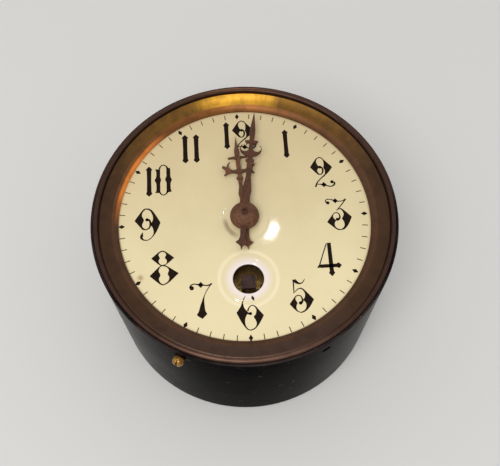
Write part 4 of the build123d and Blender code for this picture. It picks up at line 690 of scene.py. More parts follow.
NUMERALS: dict[int, tuple[Mark, ...]] = {
    1: (pillar_bar(-0.43, 0.78, 5.5, -6.1, 1.1),),
    2: numeral_two(0.0),
    3: (
        Stroke(((-4.6, 4.4), (-5.25, 4.8), (-5.2, 5.5), (-4.6, 5.8), (-3.4, 5.6), (-2.0, 5.05), (-0.6, 4.8), (0.6, 4.95),
                (1.7, 5.55)), (0.3, 0.22, 0.16, 0.16, 0.16, 0.3, 0.16, 0.16, 0.26), 40),
        Ball((-4.6, 4.4), 0.6),
        rhombus((-2.0, 5.05), 0.9, 0.95),
        Stroke(((1.6, 5.4), (0.3, 3.8), (-1.0, 2.3), (-1.95, 1.25)), (0.2, 0.18, 0.17, 0.12)),
        Blade((((-1.9, 1.6), (-0.9, 2.05), (0.1, 1.85), (3.05, -1.3)), ((3.05, -1.3), (1.8, -3.8), (0.2, -5.7), (-1.2, -6.05))),
              ((-1.8, 1.4), (-0.9, 1.75), (-0.1, 1.3), (0.36, 0.0), (0.1, -0.9), (-0.4, -1.8), (0.1, -2.8), (0.25, -4.2),
               (-0.3, -5.2), (-1.2, -5.75))),
        Blade((((-2.4, 0.7), (-3.2, 0.2), (-5.6, -2.8)), ((-5.6, -2.8), (-2.6, -5.7), (-1.2, -6.05))),
              ((-2.4, 0.4), (-3.1, -0.1), (-3.35, -0.9), (-3.0, -1.8), (-2.5, -2.4), (-3.0, -3.3), (-3.0, -4.4),
               (-2.4, -5.3), (-1.2, -5.75))),
        Stroke(((-2.4, 0.55), (-1.5, 0.3), (-1.05, -0.7), (-1.25, -1.7), (-1.9, -2.1)), (0.16, 0.2, 0.24, 0.34, 0.4)),
        Ball((-2.0, -2.0), 0.58),
    ),
    4: (
        Stroke(((-1.35, 6.3), (-1.35, 4.0), (-1.35, 0.0), (-1.35, -2.0), (-1.35, -3.9), (-1.35, -4.5), (-1.35, -5.7)),
               (0.66, 0.66, 0.68, 0.7, 0.7, 1.05, 0.04), 40),
        Stroke(((-6.0, -2.5), (-5.3, -2.0), (-4.6, -1.95), (-3.0, -1.95), (-0.5, -1.95), (0.6, -1.95), (1.15, -1.95),
                (2.15, -1.95)), (0.08, 0.5, 0.62, 0.62, 0.62, 0.66, 1.1, 0.04), 40),
        Stroke(((-2.2, 6.1), (-4.0, 1.6), (-5.4, -2.1)), (0.18, 0.18, 0.22)),
    ),
    5: (
        Stroke(((-2.15, 6.2), (-2.2, 4.0), (-2.25, 1.4)), (0.24, 0.2, 0.16)),
        Stroke(((-1.9, 6.0), (-1.4, 5.45), (-0.8, 4.95), (0.1, 4.7), (0.9, 5.1), (1.6, 6.1)),
               (0.55, 0.55, 0.4, 0.22, 0.16, 0.12)),
        Blade((((-2.0, 1.9), (-1.2, 2.8), (-0.1, 3.2), (1.0, 2.7), (4.1, -1.0)), ((4.1, -1.0), (2.4, -3.6), (0.8, -5.0), (-0.5, -5.4))),
              ((-1.8, 1.75), (-1.1, 2.5), (-0.1, 2.84), (0.8, 2.2), (1.3, 1.0), (1.1, -0.2), (0.6, -1.0), (1.3, -2.0),
               (1.4, -3.2), (0.8, -4.4), (-0.5, -5.05))),
        Blade((((-1.1, 0.85), (-2.0, 0.3), (-4.0, -2.2)), ((-4.0, -2.2), (-2.0, -4.6), (-0.5, -5.4))),
              ((-1.1, 0.5), (-1.75, 0.1), (-1.95, -0.6), (-1.7, -1.3), (-1.4, -2.0), (-1.8, -2.9), (-1.8, -3.9),
               (-1.3, -4.7), (-0.5, -5.05))),
        Stroke(((-1.1, 0.7), (-0.2, 0.4), (0.25, -0.5), (0.3, -1.3), (-0.2, -2.0)), (0.17, 0.18, 0.24, 0.34, 0.4)),
        Ball((-0.4, -2.0), 0.58),
    ),
    6: (
        Stroke(((-1.35, 6.05), (-2.1, 4.9), (-2.5, 3.7), (-2.6, 2.6)), (0.07, 0.14, 0.17, 0.4)),
        Blade((((-2.8, 3.3), (-3.3, 2.2), (-4.6, 0.4)), ((-4.6, 0.4), (-3.1, -2.9), (-1.5, -5.3), (-0.2, -5.8))),
              ((-2.25, 3.3), (-2.1, 2.3), (-1.6, 1.3), (-1.1, 0.6), (-1.2, -0.3), (-1.65, -1.1), (-1.95, -2.2),
               (-1.95, -3.2), (-1.7, -4.3), (-1.0, -5.2), (-0.2, -5.45))),
        Stroke(((0.68, 6.0), (1.0, 5.1), (1.32, 4.2)), (0.05, 0.5, 0.05), 9),
        Stroke(((-0.95, 0.7), (-0.55, 1.8), (0.35, 2.6), (1.3, 2.4), (2.0, 1.6)), (0.25, 0.2, 0.15, 0.16, 0.3)),
        Blade((((1.3, 2.5), (2.0, 1.9), (4.2, -0.9)), ((4.2, -0.9), (2.6, -3.6), (1.2, -5.2), (-0.2, -5.8))),
              ((1.3, 2.3), (1.75, 1.5), (1.85, 0.7), (1.5, -0.5), (0.9, -1.2), (1.45, -2.4), (1.7, -3.6), (1.1, -4.8),
               (-0.2, -5.45))),
        Stroke(((-1.3, 0.3), (-0.7, -0.05), (-0.1, -0.1)), (0.35, 0.3, 0.4)),
        Ball((-0.1, -0.1), 0.52),
    ),
    7: (
        Ball((-2.0, 5.2), 0.72),
        Stroke(((-2.6, 5.3), (-2.3, 6.1), (-1.4, 6.6), (-0.3, 6.45), (0.95, 6.2), (2.1, 6.0), (3.1, 5.9), (4.0, 6.05),
                (4.6, 6.5)), (0.3, 0.24, 0.18, 0.2, 0.3, 0.2, 0.2, 0.28, 0.3), 40),
        rhombus((0.95, 6.2), 1.0, 1.05),
        Blade((((4.5, 6.2), (3.2, 4.4), (2.25, 2.6), (1.95, 1.0), (2.0, -1.0), (2.2, -2.8), (2.8, -3.85)),
               ((2.8, -3.85), (1.15, -5.45))),
              ((4.05, 6.1), (2.9, 4.4), (1.8, 2.2), (1.2, 0.6), (0.6, -1.0), (0.0, -3.0), (-0.55, -4.1), (1.1, -5.4))),
    ),
    8: (
        Blade((((0.9, 6.9), (-0.2, 6.5), (-2.9, 4.2)), ((-2.9, 4.2), (-0.4, 1.9), (0.8, 1.35))),
              ((0.9, 6.5), (0.0, 6.1), (-0.45, 5.3), (-0.05, 4.2), (-0.45, 3.2), (0.0, 2.1), (0.8, 1.7))),
        Blade((((0.9, 6.9), (2.0, 6.4), (4.8, 4.1)), ((4.8, 4.1), (2.2, 1.9), (0.8, 1.35))),
              ((0.9, 6.5), (1.8, 6.0), (2.05, 5.2), (1.65, 4.25), (2.3, 3.2), (2.0, 2.1), (0.8, 1.7))),
        Blade((((0.8, 1.7), (-0.1, 1.3), (-3.5, -2.0)), ((-3.5, -2.0), (-0.3, -4.9), (1.0, -5.5))),
              ((0.8, 1.35), (0.0, 0.9), (-0.45, -0.4), (0.1, -1.8), (-0.4, -3.2), (0.1, -4.5), (1.0, -5.15))),
        Blade((((0.8, 1.7), (2.2, 1.3), (6.15, -1.5)), ((6.15, -1.5), (2.8, -4.6), (1.0, -5.5))),
              ((0.8, 1.35), (2.1, 0.9), (2.9, -0.2), (2.5, -1.6), (3.0, -2.8), (2.5, -4.2), (1.0, -5.15))),
    ),
    9: (
        Blade((((0.0, 6.15), (-1.2, 5.5), (-4.0, 1.6)), ((-4.0, 1.6), (-2.0, -0.9), (-1.3, -1.8), (-0.2, -2.1))),
              ((0.0, 5.75), (-1.0, 4.9), (-1.45, 3.4), (-0.9, 2.2), (-0.8, 1.4), (-1.35, 0.2), (-1.2, -0.9), (-0.2, -1.75))),
        Blade((((0.0, 6.15), (1.3, 5.85), (2.6, 4.5), (4.9, 0.5)), ((4.9, 0.5), (3.6, -2.6), (2.5, -4.3), (1.4, -5.4))),
              ((0.0, 5.75), (1.2, 5.2), (2.1, 3.6), (2.3, 1.8), (1.6, 0.0), (2.2, -1.4), (2.5, -2.8), (2.2, -4.1),
               (1.3, -5.2))),
        Stroke(((1.6, -5.1), (0.5, -5.75), (-0.8, -5.65), (-1.6, -4.9), (-1.5, -4.0), (-1.2, -2.8)),
               (0.16, 0.15, 0.2, 0.42, 0.5, 0.06), 30),
        Stroke(((0.3, 1.9), (1.1, 1.5), (1.45, 0.2), (1.0, -1.3), (-0.2, -1.95)), (0.4, 0.34, 0.34, 0.26, 0.18)),
        Ball((0.3, 1.8), 0.6),
    ),
    10: (
        pillar_bar(-3.38, 0.8, 5.6, -6.15, 1.15),
        Blade((((-1.25, 4.4), (-0.9, 3.4), (-0.9, 1.4), (-1.5, 0.0)), ((-1.5, 0.0), (-0.9, -1.4), (-0.9, -4.0), (-1.35, -4.9))),
              ((0.5, 4.3), (0.5, 2.6), (0.5, 1.2), (0.8, 0.1), (0.5, -1.2), (0.5, -3.0), (0.45, -5.0))),
        Blade((((4.0, 4.7), (4.05, 3.0), (4.1, 1.2), (4.6, 0.0)), ((4.6, 0.0), (4.1, -1.4), (4.1, -3.4), (4.4, -4.7))),
              ((2.7, 4.5), (2.65, 2.6), (2.65, 1.4), (2.2, 0.2), (2.65, -1.2), (2.65, -3.0), (2.7, -4.9))),
        Stroke(((0.2, 4.4), (0.65, 5.4), (1.5, 5.95), (2.5, 5.5), (3.1, 4.5)), (0.3, 0.2, 0.18, 0.2, 0.4)),
        Stroke(((0.2, -4.5), (0.7, -5.4), (1.6, -5.85), (2.5, -5.4), (3.0, -4.5)), (0.3, 0.2, 0.18, 0.2, 0.4)),
    ),
    11: (pillar_bar(-2.75, 0.83, 5.5, -6.1, 1.16), pillar_bar(1.23, 0.83, 5.5, -6.1, 1.16)),
    12: (pillar_bar(-4.54, 0.8, 5.4, -5.75, 1.12), *numeral_two(2.4)),
}


@dataclass
class Slab:
    """Thin closed ribbons laid on a surface, gathered into one mesh."""

    name: str
    vertices: list[np.ndarray] = field(default_factory=list)
    faces: list[np.ndarray] = field(default_factory=list)
    total: int = 0

    def add(self, left: np.ndarray, right: np.ndarray, heights: Any, thickness: float) -> None:
        """Add one ribbon.

        Its cross-section is a rectangle: the two edges at the top, and the same edges one thickness lower,
        carried along the ribbon, with both ends closed.

        Args:
            left: The left edge in millimetres, count by 2.
            right: The right edge, count by 2.
            heights: A function that gives the top's height at points.
            thickness: How thick the ribbon is.
        """
        count = len(left)
        corners = []
        for edge, drop in ((left, thickness), (left, 0.0), (right, 0.0), (right, thickness)):
            corners.append(np.column_stack([edge, heights(edge[:, 0], edge[:, 1]) - drop]))
        ring = np.stack(corners, axis=1).reshape(-1, 3)
        row, column = np.meshgrid(np.arange(count - 1), np.arange(4), indexing="ij")
        beside = (column + 1) % 4
        quads = np.stack([row * 4 + column, row * 4 + beside, (row + 1) * 4 + beside, (row + 1) * 4 + column], axis=-1)
        quads = quads.reshape(-1, 4)
        ends = np.array([[3, 2, 1, 0], [4 * (count - 1), 4 * count - 3, 4 * count - 2, 4 * count - 1]])
        self.vertices.append(ring)
        self.faces.append(np.concatenate([quads, ends]) + self.total)
        self.total += len(ring)

    def object(self) -> bpy.types.Object:
        """Make the object, its faces pointing outwards."""
        mesh = bpy.data.meshes.new(self.name)
        points = np.concatenate(self.vertices) * MILLIMETRE
        mesh.from_pydata(points.tolist(), [], np.concatenate(self.faces).tolist())
        made = bpy.data.objects.new(self.name, mesh)
        bpy.context.scene.collection.objects.link(made)
        bpy.context.view_layer.objects.active = made
        made.select_set(True)
        bpy.ops.object.mode_set(mode="EDIT")
        bpy.ops.mesh.select_all(action="SELECT")
        bpy.ops.mesh.normals_make_consistent(inside=False)
        bpy.ops.object.mode_set(mode="OBJECT")
        made.select_set(False)
        return made


@dataclass
class Weave:
    """Surfaces that meet at their edges, gathered and welded into one closed mesh."""

    name: str
    count: int = 160
    points: list[np.ndarray] = field(default_factory=list)
    faces: list[list[int]] = field(default_factory=list)
    total: int = 0

    def circle(self, radius: float, height: float, centre: Point) -> np.ndarray:
        """Points at even angles on a level circle."""
        turn = np.linspace(0.0, 2.0 * np.pi, self.count, endpoint=False)
        return np.stack([centre[0] + radius * np.cos(turn), centre[1] + radius * np.sin(turn),
                         np.full(self.count, height)], axis=1)

    def turned(self, profile: np.ndarray, centre: Point) -> None:
        """Turn a profile about an upright axis.

        The point for profile sample i and turn t is the centre plus radius i times (cos t, sin t), at height i.

        Args:
            profile: Radius and height of each sample.
            centre: Where the axis stands.
        """
        grid = np.stack([self.circle(radius, height, centre) for radius, height in profile])
        row, column = np.meshgrid(np.arange(len(profile) - 1), np.arange(self.count), indexing="ij")
        beside = (column + 1) % self.count
        quads = np.stack([row, row, row + 1, row + 1], axis=-1) * self.count
        quads = quads + np.stack([column, beside, beside, column], axis=-1)
        self.add(grid.reshape(-1, 3), quads.reshape(-1, 4).tolist())

    def sheet(self, outer: np.ndarray, holes: Sequence[tuple[float, Point]], height: float) -> None:
        """Fill the flat space between an outer ring and round holes with triangles.

        Args:
            outer: The outer ring's points.
            holes: Radius and centre of each hole.
            height: The height of the sheet.
        """
        rings = [outer] + [self.circle(radius, height, centre) for radius, centre in holes]
        flat = np.concatenate(rings)[:, :2]
        first = np.arange(len(flat))
        after = np.concatenate([(np.arange(self.count) + 1) % self.count + self.count * k for k in range(len(rings))])
        made = delaunay_2d_cdt([Vector(p) for p in flat.tolist()], np.stack([first, after], axis=1).tolist(), [], 0, 1e-7)
        places = np.array([tuple(p) for p in made[0]])
        triangles = np.array(made[2])
        middle = places[triangles].mean(axis=1)
        kept = np.ones(len(triangles), bool)
        for radius, centre in holes:
            kept &= np.hypot(*(middle - np.array(centre)).T) > radius + 0.01
        self.add(np.column_stack([places, np.full(len(places), height)]), triangles[kept].tolist())

    def add(self, points: np.ndarray, faces: list[list[int]]) -> None:
        """Gather one surface's points and faces."""
        self.faces += [[corner + self.total for corner in face] for face in faces]
        self.points.append(points)
        self.total += len(points)

    def object(self) -> bpy.types.Object:
        """Weld the surfaces and make the object, smooth but for its sharp corners."""
        mesh = bpy.data.meshes.new(self.name)
        mesh.from_pydata((np.concatenate(self.points) * MILLIMETRE).tolist(), [], self.faces)
        welded = bmesh.new()
        welded.from_mesh(mesh)
        bmesh.ops.remove_doubles(welded, verts=welded.verts, dist=2e-7)
        bmesh.ops.recalc_face_normals(welded, faces=welded.faces)
        welded.to_mesh(mesh)
        welded.free()
        mesh.shade_smooth()
        mesh.set_sharp_from_angle(angle=math.radians(35.0))
        made = bpy.data.objects.new(self.name, mesh)
        bpy.context.scene.collection.objects.link(made)
        return made


# Sub-assemblies

Finish = Union[AgedMetal, SpunBezel, DarkDrum, Enamel, Ink, RustedSteel, Ruby]


@dataclass
class Assembly:
    """A group of the clock's pieces and the finish of each."""

    nodes: dict[str, bpy.types.Object]

    def finishes(self) -> dict[str, Finish]:
        """The finish of each node of this group."""
        return {}

    def dress(self) -> None:
        """Give every node of the group its finish, turned marks running round the node's own middle."""
        for name, finish in self.finishes().items():
            low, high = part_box(name)
            material = finish.material((low + high) / 2)
            piece = self.nodes[name]
            if not piece.material_slots:
                piece.data.materials.append(material)
            for slot in piece.material_slots:
                slot.material = material
            log.info("%s: %s", name, finish.name)


COVER_BRASS = AgedMetal("cover_brass", tone(150, 122, 72), tone(104, 82, 50), tone(62, 46, 32), patch=12.0,
                        spot_share=0.4, seed=3.0)
RING_BRASS = AgedMetal("ring_brass", tone(178, 146, 84), tone(128, 102, 60), tone(74, 56, 36), seed=4.0)
SCREW_BRASS = AgedMetal("screw_brass", tone(190, 146, 72), tone(124, 86, 42), tone(70, 46, 28), patch=1.6, spot=0.5,
                        gloss=0.2, dullness=0.4, line=0.1, grain=Grain.CAST)
PLATE_BRASS = AgedMetal("plate_brass", tone(170, 140, 70), tone(120, 96, 44), tone(70, 54, 30), Grain.BRUSHED,
                        patch=7.0, spot=1.4, spot_share=0.45, gloss=0.3, dullness=0.52, seed=6.0)
PILLAR_BRASS = AgedMetal("pillar_brass", tone(196, 160, 88), tone(142, 112, 62), tone(82, 62, 38), patch=4.0, seed=7.0)
WHEEL_BRASS = AgedMetal("wheel_brass", tone(208, 174, 98), tone(160, 128, 68), tone(98, 74, 42), patch=3.0, spot=0.9,
                        gloss=0.22, dullness=0.4, line=0.12, seed=8.0)
BARREL_BRASS = AgedMetal("barrel_brass", tone(196, 160, 86), tone(146, 114, 60), tone(86, 64, 38), patch=6.0, seed=9.0)
PLATFORM_GILT = AgedMetal("gilt_platform", tone(222, 184, 96), tone(186, 148, 76), tone(120, 90, 48), Grain.CAST,
                          patch=5.0, spot=0.9, spot_share=0.2, gloss=0.3, dullness=0.45, line=0.08, seed=10.0)
BALANCE_BRASS = AgedMetal("balance_brass", tone(218, 180, 96), tone(176, 140, 72), tone(110, 82, 44), patch=2.0,
                          spot=0.5, gloss=0.16, dullness=0.32, line=0.08, seed=11.0)
PIVOT_STEEL = AgedMetal("polished_steel", tone(176, 176, 178), tone(138, 137, 138), tone(92, 80, 70), patch=3.0,
                        spot=0.6, spot_share=0.25, gloss=0.18, dullness=0.36, line=0.08, seed=12.0)
SCREW_STEEL = AgedMetal("screw_steel", tone(140, 140, 146), tone(104, 102, 104), tone(84, 62, 48), patch=1.5,
                        spot=0.5, spot_share=0.4, gloss=0.24, dullness=0.45, line=0.1, seed=13.0)
BLUED_STEEL = AgedMetal("blued_steel", tone(46, 60, 112), tone(38, 46, 84), tone(44, 40, 52), patch=2.0, spot=0.5,
                        spot_share=0.2, gloss=0.2, dullness=0.34, line=0.08, seed=14.0)
SPRING_STEEL = AgedMetal("spring_steel", tone(118, 122, 132), tone(88, 90, 100), tone(70, 56, 46), patch=4.0,
                         spot=0.8, gloss=0.22, dullness=0.4, line=0.2, seed=15.0)
WINDING_STEEL = AgedMetal("worn_winding_steel", tone(68, 44, 38), tone(44, 30, 27), tone(30, 20, 18), Grain.CAST,
                          patch=2.4, spot=0.7, spot_share=0.5, gloss=0.34, dullness=0.55, metallic=0.7, seed=16.0)
RATCHET_STEEL = AgedMetal("ratchet_steel", tone(158, 126, 70), tone(104, 80, 46), tone(56, 42, 30), patch=2.6,
                          spot=0.7, spot_share=0.5, gloss=0.3, dullness=0.5, line=0.12, seed=17.0)
FRONT_BRASS = AgedMetal("front_plate_brass", tone(178, 146, 72), tone(128, 104, 50), tone(50, 38, 24), Grain.BRUSHED,
                        patch=5.0, spot=1.4, spot_share=0.5, gloss=0.3, dullness=0.52, seed=19.0)
COPPER = AgedMetal("dial_copper", tone(178, 108, 74), tone(128, 76, 54), tone(76, 50, 40), Grain.CAST, patch=2.0,
                   spot=0.6, seed=18.0)
MINUTE_RUST = RustedSteel("rusted_minute_hand")
HOUR_RUST = RustedSteel("rusted_hour_hand", tone(98, 65, 45), tone(114, 74, 50), tone(56, 35, 25))
BOSS_RUST = RustedSteel("rusted_boss", tone(98, 64, 44), tone(112, 75, 52), tone(60, 38, 26), 0.15)
PIPE_STEEL = RustedSteel("browned_pipe", tone(68, 43, 29), tone(82, 54, 37), tone(42, 26, 18), 0.3)


@dataclass
class Case(Assembly):
    """The drum, its back, the bezel and the ring with the screws."""

    def finishes(self) -> dict[str, Finish]:
        """The case's finishes."""
        return {
            "drum_body": DarkDrum(), "back_cover": COVER_BRASS, "bezel": SpunBezel(), "movement_ring": RING_BRASS,
            "case_screws": SCREW_BRASS, "ring_screws": SCREW_STEEL,
        }


@dataclass
class Dial(Assembly):
    """The enamel dial with its fired numerals and minute track."""

    top: float = 64.75
    back: float = 63.35
    radius: float = 44.7
    centre_hole: float = 3.0
    centre_flat: float = 7.5
    centre_edge: float = 8.5
    centre_depth: float = 0.06
    hole_at: Point = (0.0, -21.6)
    hole_radius: float = 5.15
    hole_round: float = 0.25
    moat_inner: float = 5.4
    moat_outer: float = 9.3
    moat_depth: float = 0.1
    numeral_circle: float = 33.5
    print_centre: Point = (-0.45, -0.35)
    track_circle: float = 41.35
    paint: float = 0.05
    proud: float = 0.03

    def finishes(self) -> dict[str, Finish]:
        """The dial's finishes."""
        return {"enamel_dial": Enamel(), "dial_feet": COPPER, "dial_pins": WHEEL_BRASS}

    def moat(self, from_hole: np.ndarray) -> np.ndarray:
        """How far the enamel sinks round the hole: the squared sine of the way across the ring."""
        across = np.clip((from_hole - self.moat_inner) / (self.moat_outer - self.moat_inner), 0, 1)
        return self.moat_depth * np.sin(np.pi * across) ** 2

    def basin(self, reach: np.ndarray) -> np.ndarray:
        """How far the enamel sinks at the centre: full depth, then half a cosine up to the dial."""
        across = np.clip((reach - self.centre_flat) / (self.centre_edge - self.centre_flat), 0, 1)
        return self.centre_depth * (1 + np.cos(np.pi * across)) / 2

    def heights(self, x: np.ndarray, y: np.ndarray) -> np.ndarray:
        """The paint's top: a little above the enamel."""
        from_hole = np.hypot(x - self.hole_at[0], y - self.hole_at[1])
        return self.top + self.proud - self.moat(from_hole) - self.basin(np.hypot(x, y))

    def enamel(self) -> bpy.types.Object:
        """The dial with its soft hollows: turned rings round both holes, a flat sheet between them and a flat back."""
        weave = Weave("dial_enamel")
        moat = np.linspace(self.moat_inner, self.moat_outer, 24)
        turn = np.linspace(0.0, np.pi / 2, 6)
        lip = np.stack([self.hole_radius + self.hole_round * (1 - np.cos(turn)),
                        self.top - self.hole_round * (1 - np.sin(turn))], axis=1)
        wall = np.array([[self.hole_radius, self.back]])
        dish = np.stack([moat, self.top - self.moat(moat)], axis=1)
        weave.turned(np.concatenate([wall, lip, dish]), self.hole_at)
        basin = np.concatenate([[self.centre_hole], np.linspace(self.centre_flat, self.centre_edge, 14)])
        wall = np.array([[self.centre_hole, self.back]])
        weave.turned(np.concatenate([wall, np.stack([basin, self.top - self.basin(basin)], axis=1)]), (0.0, 0.0))
        weave.turned(np.array([[self.radius - 0.3, self.top], [self.radius, self.top - 0.3], [self.radius, self.back]]),
                     (0.0, 0.0))
        weave.sheet(weave.circle(self.radius - 0.3, self.top, (0.0, 0.0)),
                    [(self.centre_edge, (0.0, 0.0)), (self.moat_outer, self.hole_at)], self.top)
        weave.sheet(weave.circle(self.radius, self.back, (0.0, 0.0)),
                    [(self.centre_hole, (0.0, 0.0)), (self.hole_radius, self.hole_at)], self.back)
        return weave.object()

    def numerals(self) -> bpy.types.Object:
        """Lay every numeral's marks on the dial, upright, about its place on the numeral circle."""
        slab = Slab("numerals")
        for hour, marks in NUMERALS.items():
            turn = math.radians(30.0 * hour)
            middle = self.numeral_circle * np.array([math.sin(turn), math.cos(turn)])
            for mark in marks:
                left, right = mark.sides()
                slab.add(left + middle, right + middle, self.heights, self.paint)
        return slab.object()

    def track(self, name: str, hours: bool) -> bpy.types.Object:
        """Lay the hours' small diamonds, or the thin strokes of the other minutes, round the printed centre."""
        slab = Slab(name)
        reach, half = (1.1, 0.72) if hours else (0.95, 0.16)
        for minute in range(60):
            if (minute % 5 == 0) is not hours:
                continue
            turn = math.radians(6.0 * minute)
            way = np.array([math.sin(turn), math.cos(turn)])
            centre = np.array(self.print_centre) + self.track_circle * way
            ends = (tuple(centre - reach * way), tuple(centre), tuple(centre + reach * way))
            widths = (0.05, half, 0.05) if hours else (half, half, half)
            left, right = Stroke(ends, widths, 9).sides()
            slab.add(left, right, self.heights, self.paint)
        return slab.object()

    def build(self) -> None:
        """Make the painted pieces and let them ride on the case with the dial."""
        black = Ink("numeral_black", tone(27, 17, 10), tone(40, 27, 18))
        brown = Ink("faded_track_brown", tone(92, 78, 56), tone(112, 96, 70))
        enamel = self.enamel()
        pieces = ((enamel, Enamel()), (self.numerals(), black), (self.track("hour_marks", True), black),
                  (self.track("minute_marks", False), brown))
        for piece, finish in pieces:
            piece.data.materials.append(finish.material(Vector((0, 0, 0))))
            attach(piece, "case")
            log.info("%s: %s", piece.name, finish.name)
        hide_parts("enamel_dial")


@dataclass
class Hands(Assembly):
    """The two pierced hands and the boss."""

    def finishes(self) -> dict[str, Finish]:
        """The hands' finishes."""
        return {"hour_hand": HOUR_RUST, "minute_hand": MINUTE_RUST, "hand_boss": BOSS_RUST, "cannon_pinion": PIPE_STEEL}


@dataclass
class MotionWork(Assembly):
    """The wheels under the dial that turn the hour hand."""

    def finishes(self) -> dict[str, Finish]:
        """The motion work's finishes."""
        return {"minute_wheel": WHEEL_BRASS, "minute_pinion": PIVOT_STEEL, "minute_post": PIVOT_STEEL,
                "hour_wheel": WHEEL_BRASS}


@dataclass
class Plates(Assembly):
    """The two plates, their pillars and screws."""

    def finishes(self) -> dict[str, Finish]:
        """The frame's finishes."""
        return {"front_plate": FRONT_BRASS, "back_plate": PLATE_BRASS, "pillars": PILLAR_BRASS,
                "pillar_screws": SCREW_STEEL}


@dataclass
class WindingWork(Assembly):
    """The barrel, the spring and the ratchet under the dial."""

    def finishes(self) -> dict[str, Finish]:
        """The winding work's finishes."""
        return {"barrel": BARREL_BRASS, "barrel_cap": BARREL_BRASS, "mainspring": SPRING_STEEL,
                "barrel_arbor": WINDING_STEEL, "ratchet_wheel": RATCHET_STEEL, "click": RATCHET_STEEL,
                "click_spring": SPRING_STEEL, "click_screws": SCREW_STEEL}


@dataclass
class Train(Assembly):
    """The wheels and arbors between the barrel and the platform."""

    def finishes(self) -> dict[str, Finish]:
        """The train's finishes."""
        names = ("intermediate", "centre", "third", "fourth")
        wheels: dict[str, Finish] = {f"{name}_wheel": WHEEL_BRASS for name in names}
        return wheels | {f"{name}_arbor": PIPE_STEEL if name == "centre" else PIVOT_STEEL for name in names}


@dataclass
class Platform(Assembly):
    """The platform with the lever escapement."""

    def finishes(self) -> dict[str, Finish]:
        """The platform's finishes."""
        return {
            "platform_plate": PLATFORM_GILT, "platform_posts": PILLAR_BRASS, "platform_screws": BLUED_STEEL,
            "escape_wheel": PIVOT_STEEL, "escape_arbor": PIVOT_STEEL, "escape_cock": PLATFORM_GILT,
            "pallet_lever": PIVOT_STEEL, "pallet_stones": Ruby(), "pallet_arbor": PIVOT_STEEL,
            "pallet_cock": PLATFORM_GILT, "balance_wheel": BALANCE_BRASS, "balance_screws": BALANCE_BRASS,
            "balance_staff": PIVOT_STEEL, "roller": PIVOT_STEEL, "impulse_jewel": Ruby(),
            "hairspring": BLUED_STEEL, "hairspring_stud": PIVOT_STEEL, "balance_cock": PLATFORM_GILT,
            "regulator_index": PIVOT_STEEL, "end_cap": PIVOT_STEEL, "cock_screws": BLUED_STEEL,
        }


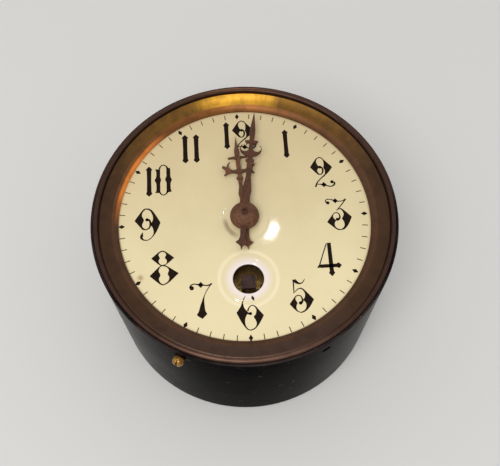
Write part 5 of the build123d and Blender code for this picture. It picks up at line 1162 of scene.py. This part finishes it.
@dataclass
class Studio:
    """The pale floor, the soft lights and the camera of the photograph's view."""

    elevation: float = 66.234
    spin: float = 3.533
    distance: float = 322.73
    target: Point = (1.81, 23.37)
    lens: float = 53.695
    sensor: float = 36.0
    floor_half: float = 2.5
    world_level: float = 0.55

    def floor(self) -> bpy.types.Object:
        """A flat sheet under the clock: a grid of two parameters at height zero."""
        side = np.linspace(-self.floor_half, self.floor_half, 3)
        x, y = np.meshgrid(side, side, indexing="ij")
        points = np.stack([x, y, np.zeros_like(x)], axis=-1).reshape(-1, 3)
        row, column = np.meshgrid(np.arange(2), np.arange(2), indexing="ij")
        first = (row * 3 + column).ravel()
        faces = np.stack([first, first + 3, first + 4, first + 1], axis=1)
        mesh = bpy.data.meshes.new("floor")
        mesh.from_pydata(points.tolist(), [], faces.tolist())
        made = bpy.data.objects.new("floor", mesh)
        bpy.context.scene.collection.objects.link(made)
        made.data.materials.append(PaleFloor().material())
        return made

    def world(self) -> None:
        """Soft light from all round, which the camera and glossy surfaces see as a pale backdrop."""
        world = bpy.data.worlds.new("studio")
        bpy.context.scene.world = world
        world.use_nodes = True
        tree = world.node_tree
        tree.nodes.clear()
        path = tree.nodes.new("ShaderNodeLightPath")
        sharp = path.outputs["Is Camera Ray"]
        for ray in ("Is Glossy Ray", "Is Transmission Ray"):
            either = tree.nodes.new("ShaderNodeMath")
            either.operation = "MAXIMUM"
            tree.links.new(sharp, either.inputs[0])
            tree.links.new(path.outputs[ray], either.inputs[1])
            sharp = either.outputs[0]
        level = tree.nodes.new("ShaderNodeMapRange")
        level.inputs["To Min"].default_value = self.world_level
        level.inputs["To Max"].default_value = 0.95
        tree.links.new(sharp, level.inputs["Value"])
        background = tree.nodes.new("ShaderNodeBackground")
        background.inputs["Color"].default_value = (1.0, 1.0, 1.0, 1.0)
        tree.links.new(level.outputs["Result"], background.inputs["Strength"])
        output = tree.nodes.new("ShaderNodeOutputWorld")
        tree.links.new(background.outputs["Background"], output.inputs["Surface"])

    def lamp(self, name: str, place: Sequence[float], sides: Point, power: float, aim: Sequence[float],
             roll: float = 0.0) -> None:
        """Add a soft light with four sides.

        Args:
            name: Its name.
            place: Where it hangs, in metres.
            sides: Its width and length, in metres.
            power: Its power in watts.
            aim: The point that it faces, in metres.
            roll: How far it turns about its own axis, in degrees.
        """
        light = bpy.data.lights.new(name, "AREA")
        light.shape = "RECTANGLE"
        light.size, light.size_y = sides
        light.energy = power
        made = bpy.data.objects.new(name, light)
        made.location = place
        facing = (Vector(aim) - Vector(place)).to_track_quat("-Z", "Y").to_matrix()
        made.rotation_euler = (facing @ Matrix.Rotation(math.radians(roll), 3, "Z")).to_euler()
        bpy.context.scene.collection.objects.link(made)

    def lights(self) -> None:
        """A broad light on the viewer's side, a ceiling light, and a small one whose glint falls beside the hands."""
        self.lamp("broad", (-0.24, -0.42, 0.95), (0.5, 0.5), 4.3, (0.0, 0.0, 0.06))
        self.lamp("ceiling", (0.0, -0.05, 1.1), (0.22, 0.22), 0.5, (0.0, 0.0, 0.06))
        self.lamp("window", (0.038, 0.258, 0.66), (0.006, 0.016), 0.023, (0.008, -0.003, 0.065), -26.0)

    def camera(self) -> None:
        """Stand the camera where the photograph was taken from."""
        tilt, turn = math.radians(self.elevation), math.radians(-self.spin)
        back = Vector((0.0, -math.cos(tilt), math.sin(tilt)))
        place = Vector((self.target[0], self.target[1], 0.0)) + back * self.distance
        lens = bpy.data.cameras.new("camera")
        lens.lens = self.lens
        lens.sensor_width = self.sensor
        lens.clip_start = 0.01
        made = bpy.data.objects.new("camera", lens)
        made.location = (Matrix.Rotation(turn, 3, "Z") @ place) * MILLIMETRE
        made.rotation_euler = Euler((math.pi / 2 - tilt, 0.0, turn))
        bpy.context.scene.collection.objects.link(made)
        bpy.context.scene.camera = made

    def build(self) -> None:
        """Set the whole stage."""
        bpy.context.scene.view_settings.view_transform = "Standard"
        self.floor()
        self.world()
        self.lights()
        self.camera()
        log.info("studio set")


def main() -> None:
    """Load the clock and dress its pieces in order."""
    logging.basicConfig(level=logging.INFO, format="%(message)s")
    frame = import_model()
    nodes = frame["nodes"]
    Studio().build()
    dial = Dial(nodes)
    for group in (Case(nodes), dial, Hands(nodes), MotionWork(nodes), Plates(nodes), WindingWork(nodes),
                  Train(nodes), Platform(nodes)):
        group.dress()
    dial.build()


if __name__ == "__main__":
    main()
